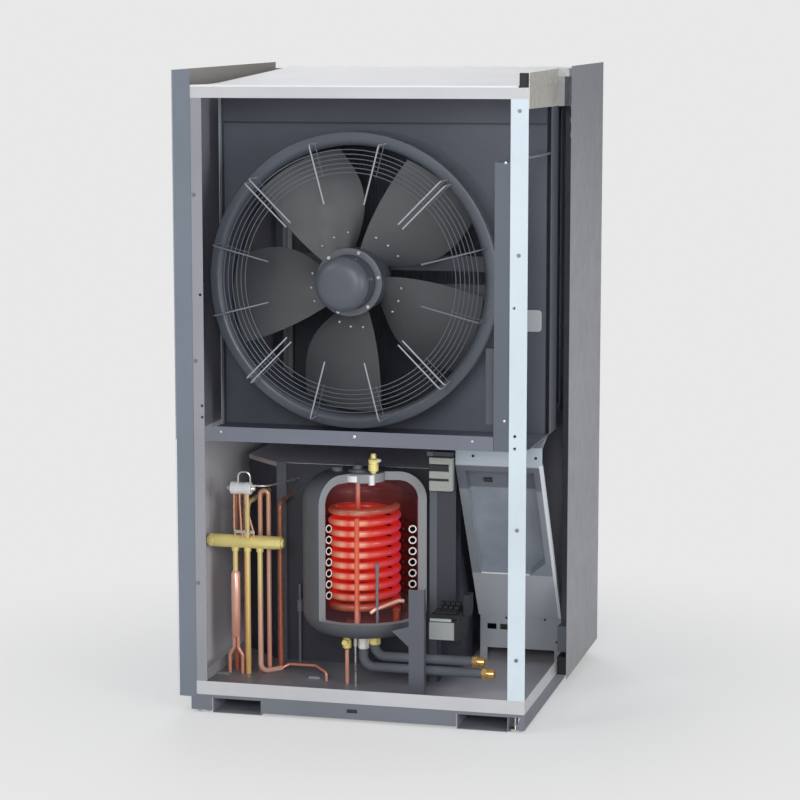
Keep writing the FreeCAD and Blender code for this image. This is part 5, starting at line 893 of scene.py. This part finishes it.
unions = [(lathe(line, at(x, WATER_DEPTH, z), "x", sides), union_brass)
          for x, z in ((722.3, 86), (748.3, 55)) for line, sides in ((union_line, 40), (nut_line, 6))]
for x, low, finish in ((455, 116.7, brass), (424, 103.7, fitting_white)):
    hexagon = [(0, low), (13.5, low), (15.5, low + 2), (15.5, UNDER_TANK - 2), (13.5, UNDER_TANK), (0, UNDER_TANK)]
    unions.append((lathe(hexagon, at(x, WATER_DEPTH, 0), "z", 6), finish))
make("union_set", *zip(*unions), HOUSING, "brass", ["water_unions"], crease=30)

# Upright and device post: folded steel in blue-grey coat that carries the electrical devices.
# The post's front plate is darker than the edge of the post behind it.
dress(coat("upright_coat", (83, 86, 95), roughness=0.42), "front_upright")
dress(zone(coat("post_plate_coat", (54, 57, 66), roughness=0.45), (86, 92, 101), x=(0.13, 0.157)), "device_post")

# Contactor: a pale moulded switching device on the post, with two dark slots across its face.
# The face is three bars over a core in the dark shell coat, so the slots are real gaps; the core's dark colour is
# painted shade inside them.
device_shell = coat("device_shell", (162, 166, 160), roughness=0.5, peel=0.05, unevenness=0.04)
dark_shell = coat("dark_shell", (34, 36, 40), roughness=0.55)
label_plate = coat("label_plate", (142, 145, 144), roughness=0.5, peel=0.02, unevenness=0.03)
contactor = [(cuboid((597, 229.7, 535), (661, 259.7, 625)), dark_shell),
             (cuboid((598, 214, 556), (660, 235, 604), 0.3), dark_shell)]
contactor += [(cuboid((597.2, 209.8, low), (654, 236, high), 1.2), device_shell)
              for low, high in ((535.5, 562), (568.5, 588), (607, 624.5))]
contactor.append((cuboid((650, 210.2, 536), (660.8, 236, 624), 1.2), device_shell))
contactor += [(stud(at(across, 209.8, height), 3.0, 0.8), device_shell)
              for height in (545, 616) for across in (605, 618, 631, 644)]
make("contactor_body", *zip(*contactor), HOUSING, "device_plastic", ["contactor"])

# Soft starter: a black moulded device with stepped terminal rows on top and a blank pale plate in front.
# Each terminal is a small block with a screw; a second black block hangs on its right side.
starter = [(cuboid((620, 131.7, 150), (695, 259.7, 220), 1.5), dark_shell),
           (cuboid((622, 101, 159), (693, 148, 210), 1.5), dark_shell),
           (cuboid((624, 99.8, 160), (691, 102, 207), 0.8), label_plate),
           (cuboid((694, 189.7, 205.8), (714, 229.7, 263.8), 1.5), dark_shell),
           (cuboid((626, 99.9, 209), (683, 108, 216), 0.8), device_shell)]
for depth, base, screw in ((150, 215, trim_coat), (176, 222, black_moulding), (202, 227, black_moulding)):
    for side in (630, 644.5, 659, 673.5):
        starter.append((cuboid((side, depth, base), (side + 11.8, depth + 19, base + 11.5), 1.0), dark_shell))
        starter.append((stud(at(side + 5.9, depth + 9.5, base + 11.5), 3.0, 0.9, "z", 1), screw))
starter.append((cuboid((628, 145, 216), (687, 224, 227), 0.8), black_moulding))
make("starter_body", *zip(*starter), HOUSING, "device_plastic", ["soft_starter"])

# Electrics console: a leaning sheet cover with a head strip, a recess whose lower right corner is cut, and a tray.
# Its right edge is folded and catches the light, and the cover below the head strip and the tray's upper part
# carry painted shadow under the upper edge.
console_coat = coat("console_coat", (138, 143, 149), roughness=0.4, unevenness=0.06)
zone(console_coat, (176, 180, 186), x=(0.21, 0.45), z=(0.15, 0.3205))
# Painted shadow: the cover is darker just below the head strip.
zone(console_coat, (104, 108, 117), soft=0.003, x=(0.21, 0.45), z=(0.582, 0.6545))
zone(console_coat, (178, 187, 196), y=(-0.226, -0.14), z=(0.6548, 0.735))
zone(console_coat, (226, 230, 234), soft=0.001, x=(0.4385, 0.4485), z=(0.16, 0.66))
tray_coat = coat("tray_coat", (142, 148, 158), roughness=0.34, unevenness=0.16, scale=9.0)
# Painted shadow: the tray is darker under the recess's upper edge.
zone(tray_coat, (106, 110, 119), soft=0.004, z=(0.582, 0.70))
dress(console_coat, "electrics_console")
dress(tray_coat, "console_tray")
dress(coat("bracket_coat_light", (150, 155, 161), roughness=0.42), "console_bracket")
TILT = math.atan2(300.0, 471.0)


def leaned(across, run, behind):
    """A place on the console's face: run up the slope from its foot, and a depth behind the face."""
    return at(664 + across, 530 + behind * math.cos(TILT) - run * math.sin(TILT),
              134 + behind * math.sin(TILT) + run * math.cos(TILT))


lip_bar = tube([leaned(26, 163, 1), leaned(160, 163, 1)], 2.2, 10)
latch = tube([leaned(64, 484, 28), leaned(86, 484, 28)], 6.0, 12)
strip_screws = [stud(at(across, 229.9, 630), 4.0, 1.2) for across in (711.6, 880.0)]
foot_screws = [stud(at(across, 532.2, height), 3.4, 1.2) for across, height in ((742, 128), (851, 128), (884, 66))]
make("console_fittings", [lip_bar, latch] + strip_screws + foot_screws,
     [fitting_white, dark_shell] + [black_moulding] * 5, HOUSING, "console_paint")

# Fork pocket channels and the side seal: folded dark sheet inside the plinth, and a strip that closes the gap
# between the frame and the side panel. The channels run from front to back above the floor, and a small flap of
# the seal's sheet hangs behind the plinth's drain slot; the flap is painted darker still, as painted shade seen
# through the slot.
channels = []
for start, end in ((58, 192), (721, 856)):
    channels += [cuboid((start, 5, -49.4), (end, 902, -47.6)), cuboid((start, 5, -10.4), (end, 902, -8.8)),
                 cuboid((start, 5, -47.6), (start + 1.6, 902, -10.4)),
                 cuboid((end - 1.6, 5, -47.6), (end, 902, -10.4))]
make("pocket_channels", channels, [coat("pocket_coat", (134, 136, 144), roughness=0.55)],
     HOUSING, "plinth_paint")
# The flap behind the drain slot is painted darker: painted shade inside the plinth.
seal_coat = zone(coat("seal_coat", (62, 64, 74), roughness=0.6), (38, 40, 50), x=(-0.04, 0.04))
make("side_seal", [cuboid((900.8, 506, 2), (932.0, 509, 1590)), cuboid((929.6, 509, 2), (932.0, 532, 1590)),
                   cuboid((420, 3.2, -32), (478, 5.0, -6))], [seal_coat], HOUSING, "dark_sheet")

# Small fixings: rivets and screws on the shelf lip, the cable duct and the middle post.
# All are steel heads set on their sheets.
fixings = [stud(at(*place), radius, rise) for place, radius, rise in (
    ((449.8, 0, 705), 4.6, 1.4), ((842.1, 2.3, 1410.8), 4.2, 1.4), ((842.1, 2.3, 760), 4.2, 1.4),
    ((90, 0, 705), 3.4, 1.2), ((760, 0, 705), 3.4, 1.2))]
make("small_fixings", fixings, [zinc_bright], HOUSING, "bolt_steel")
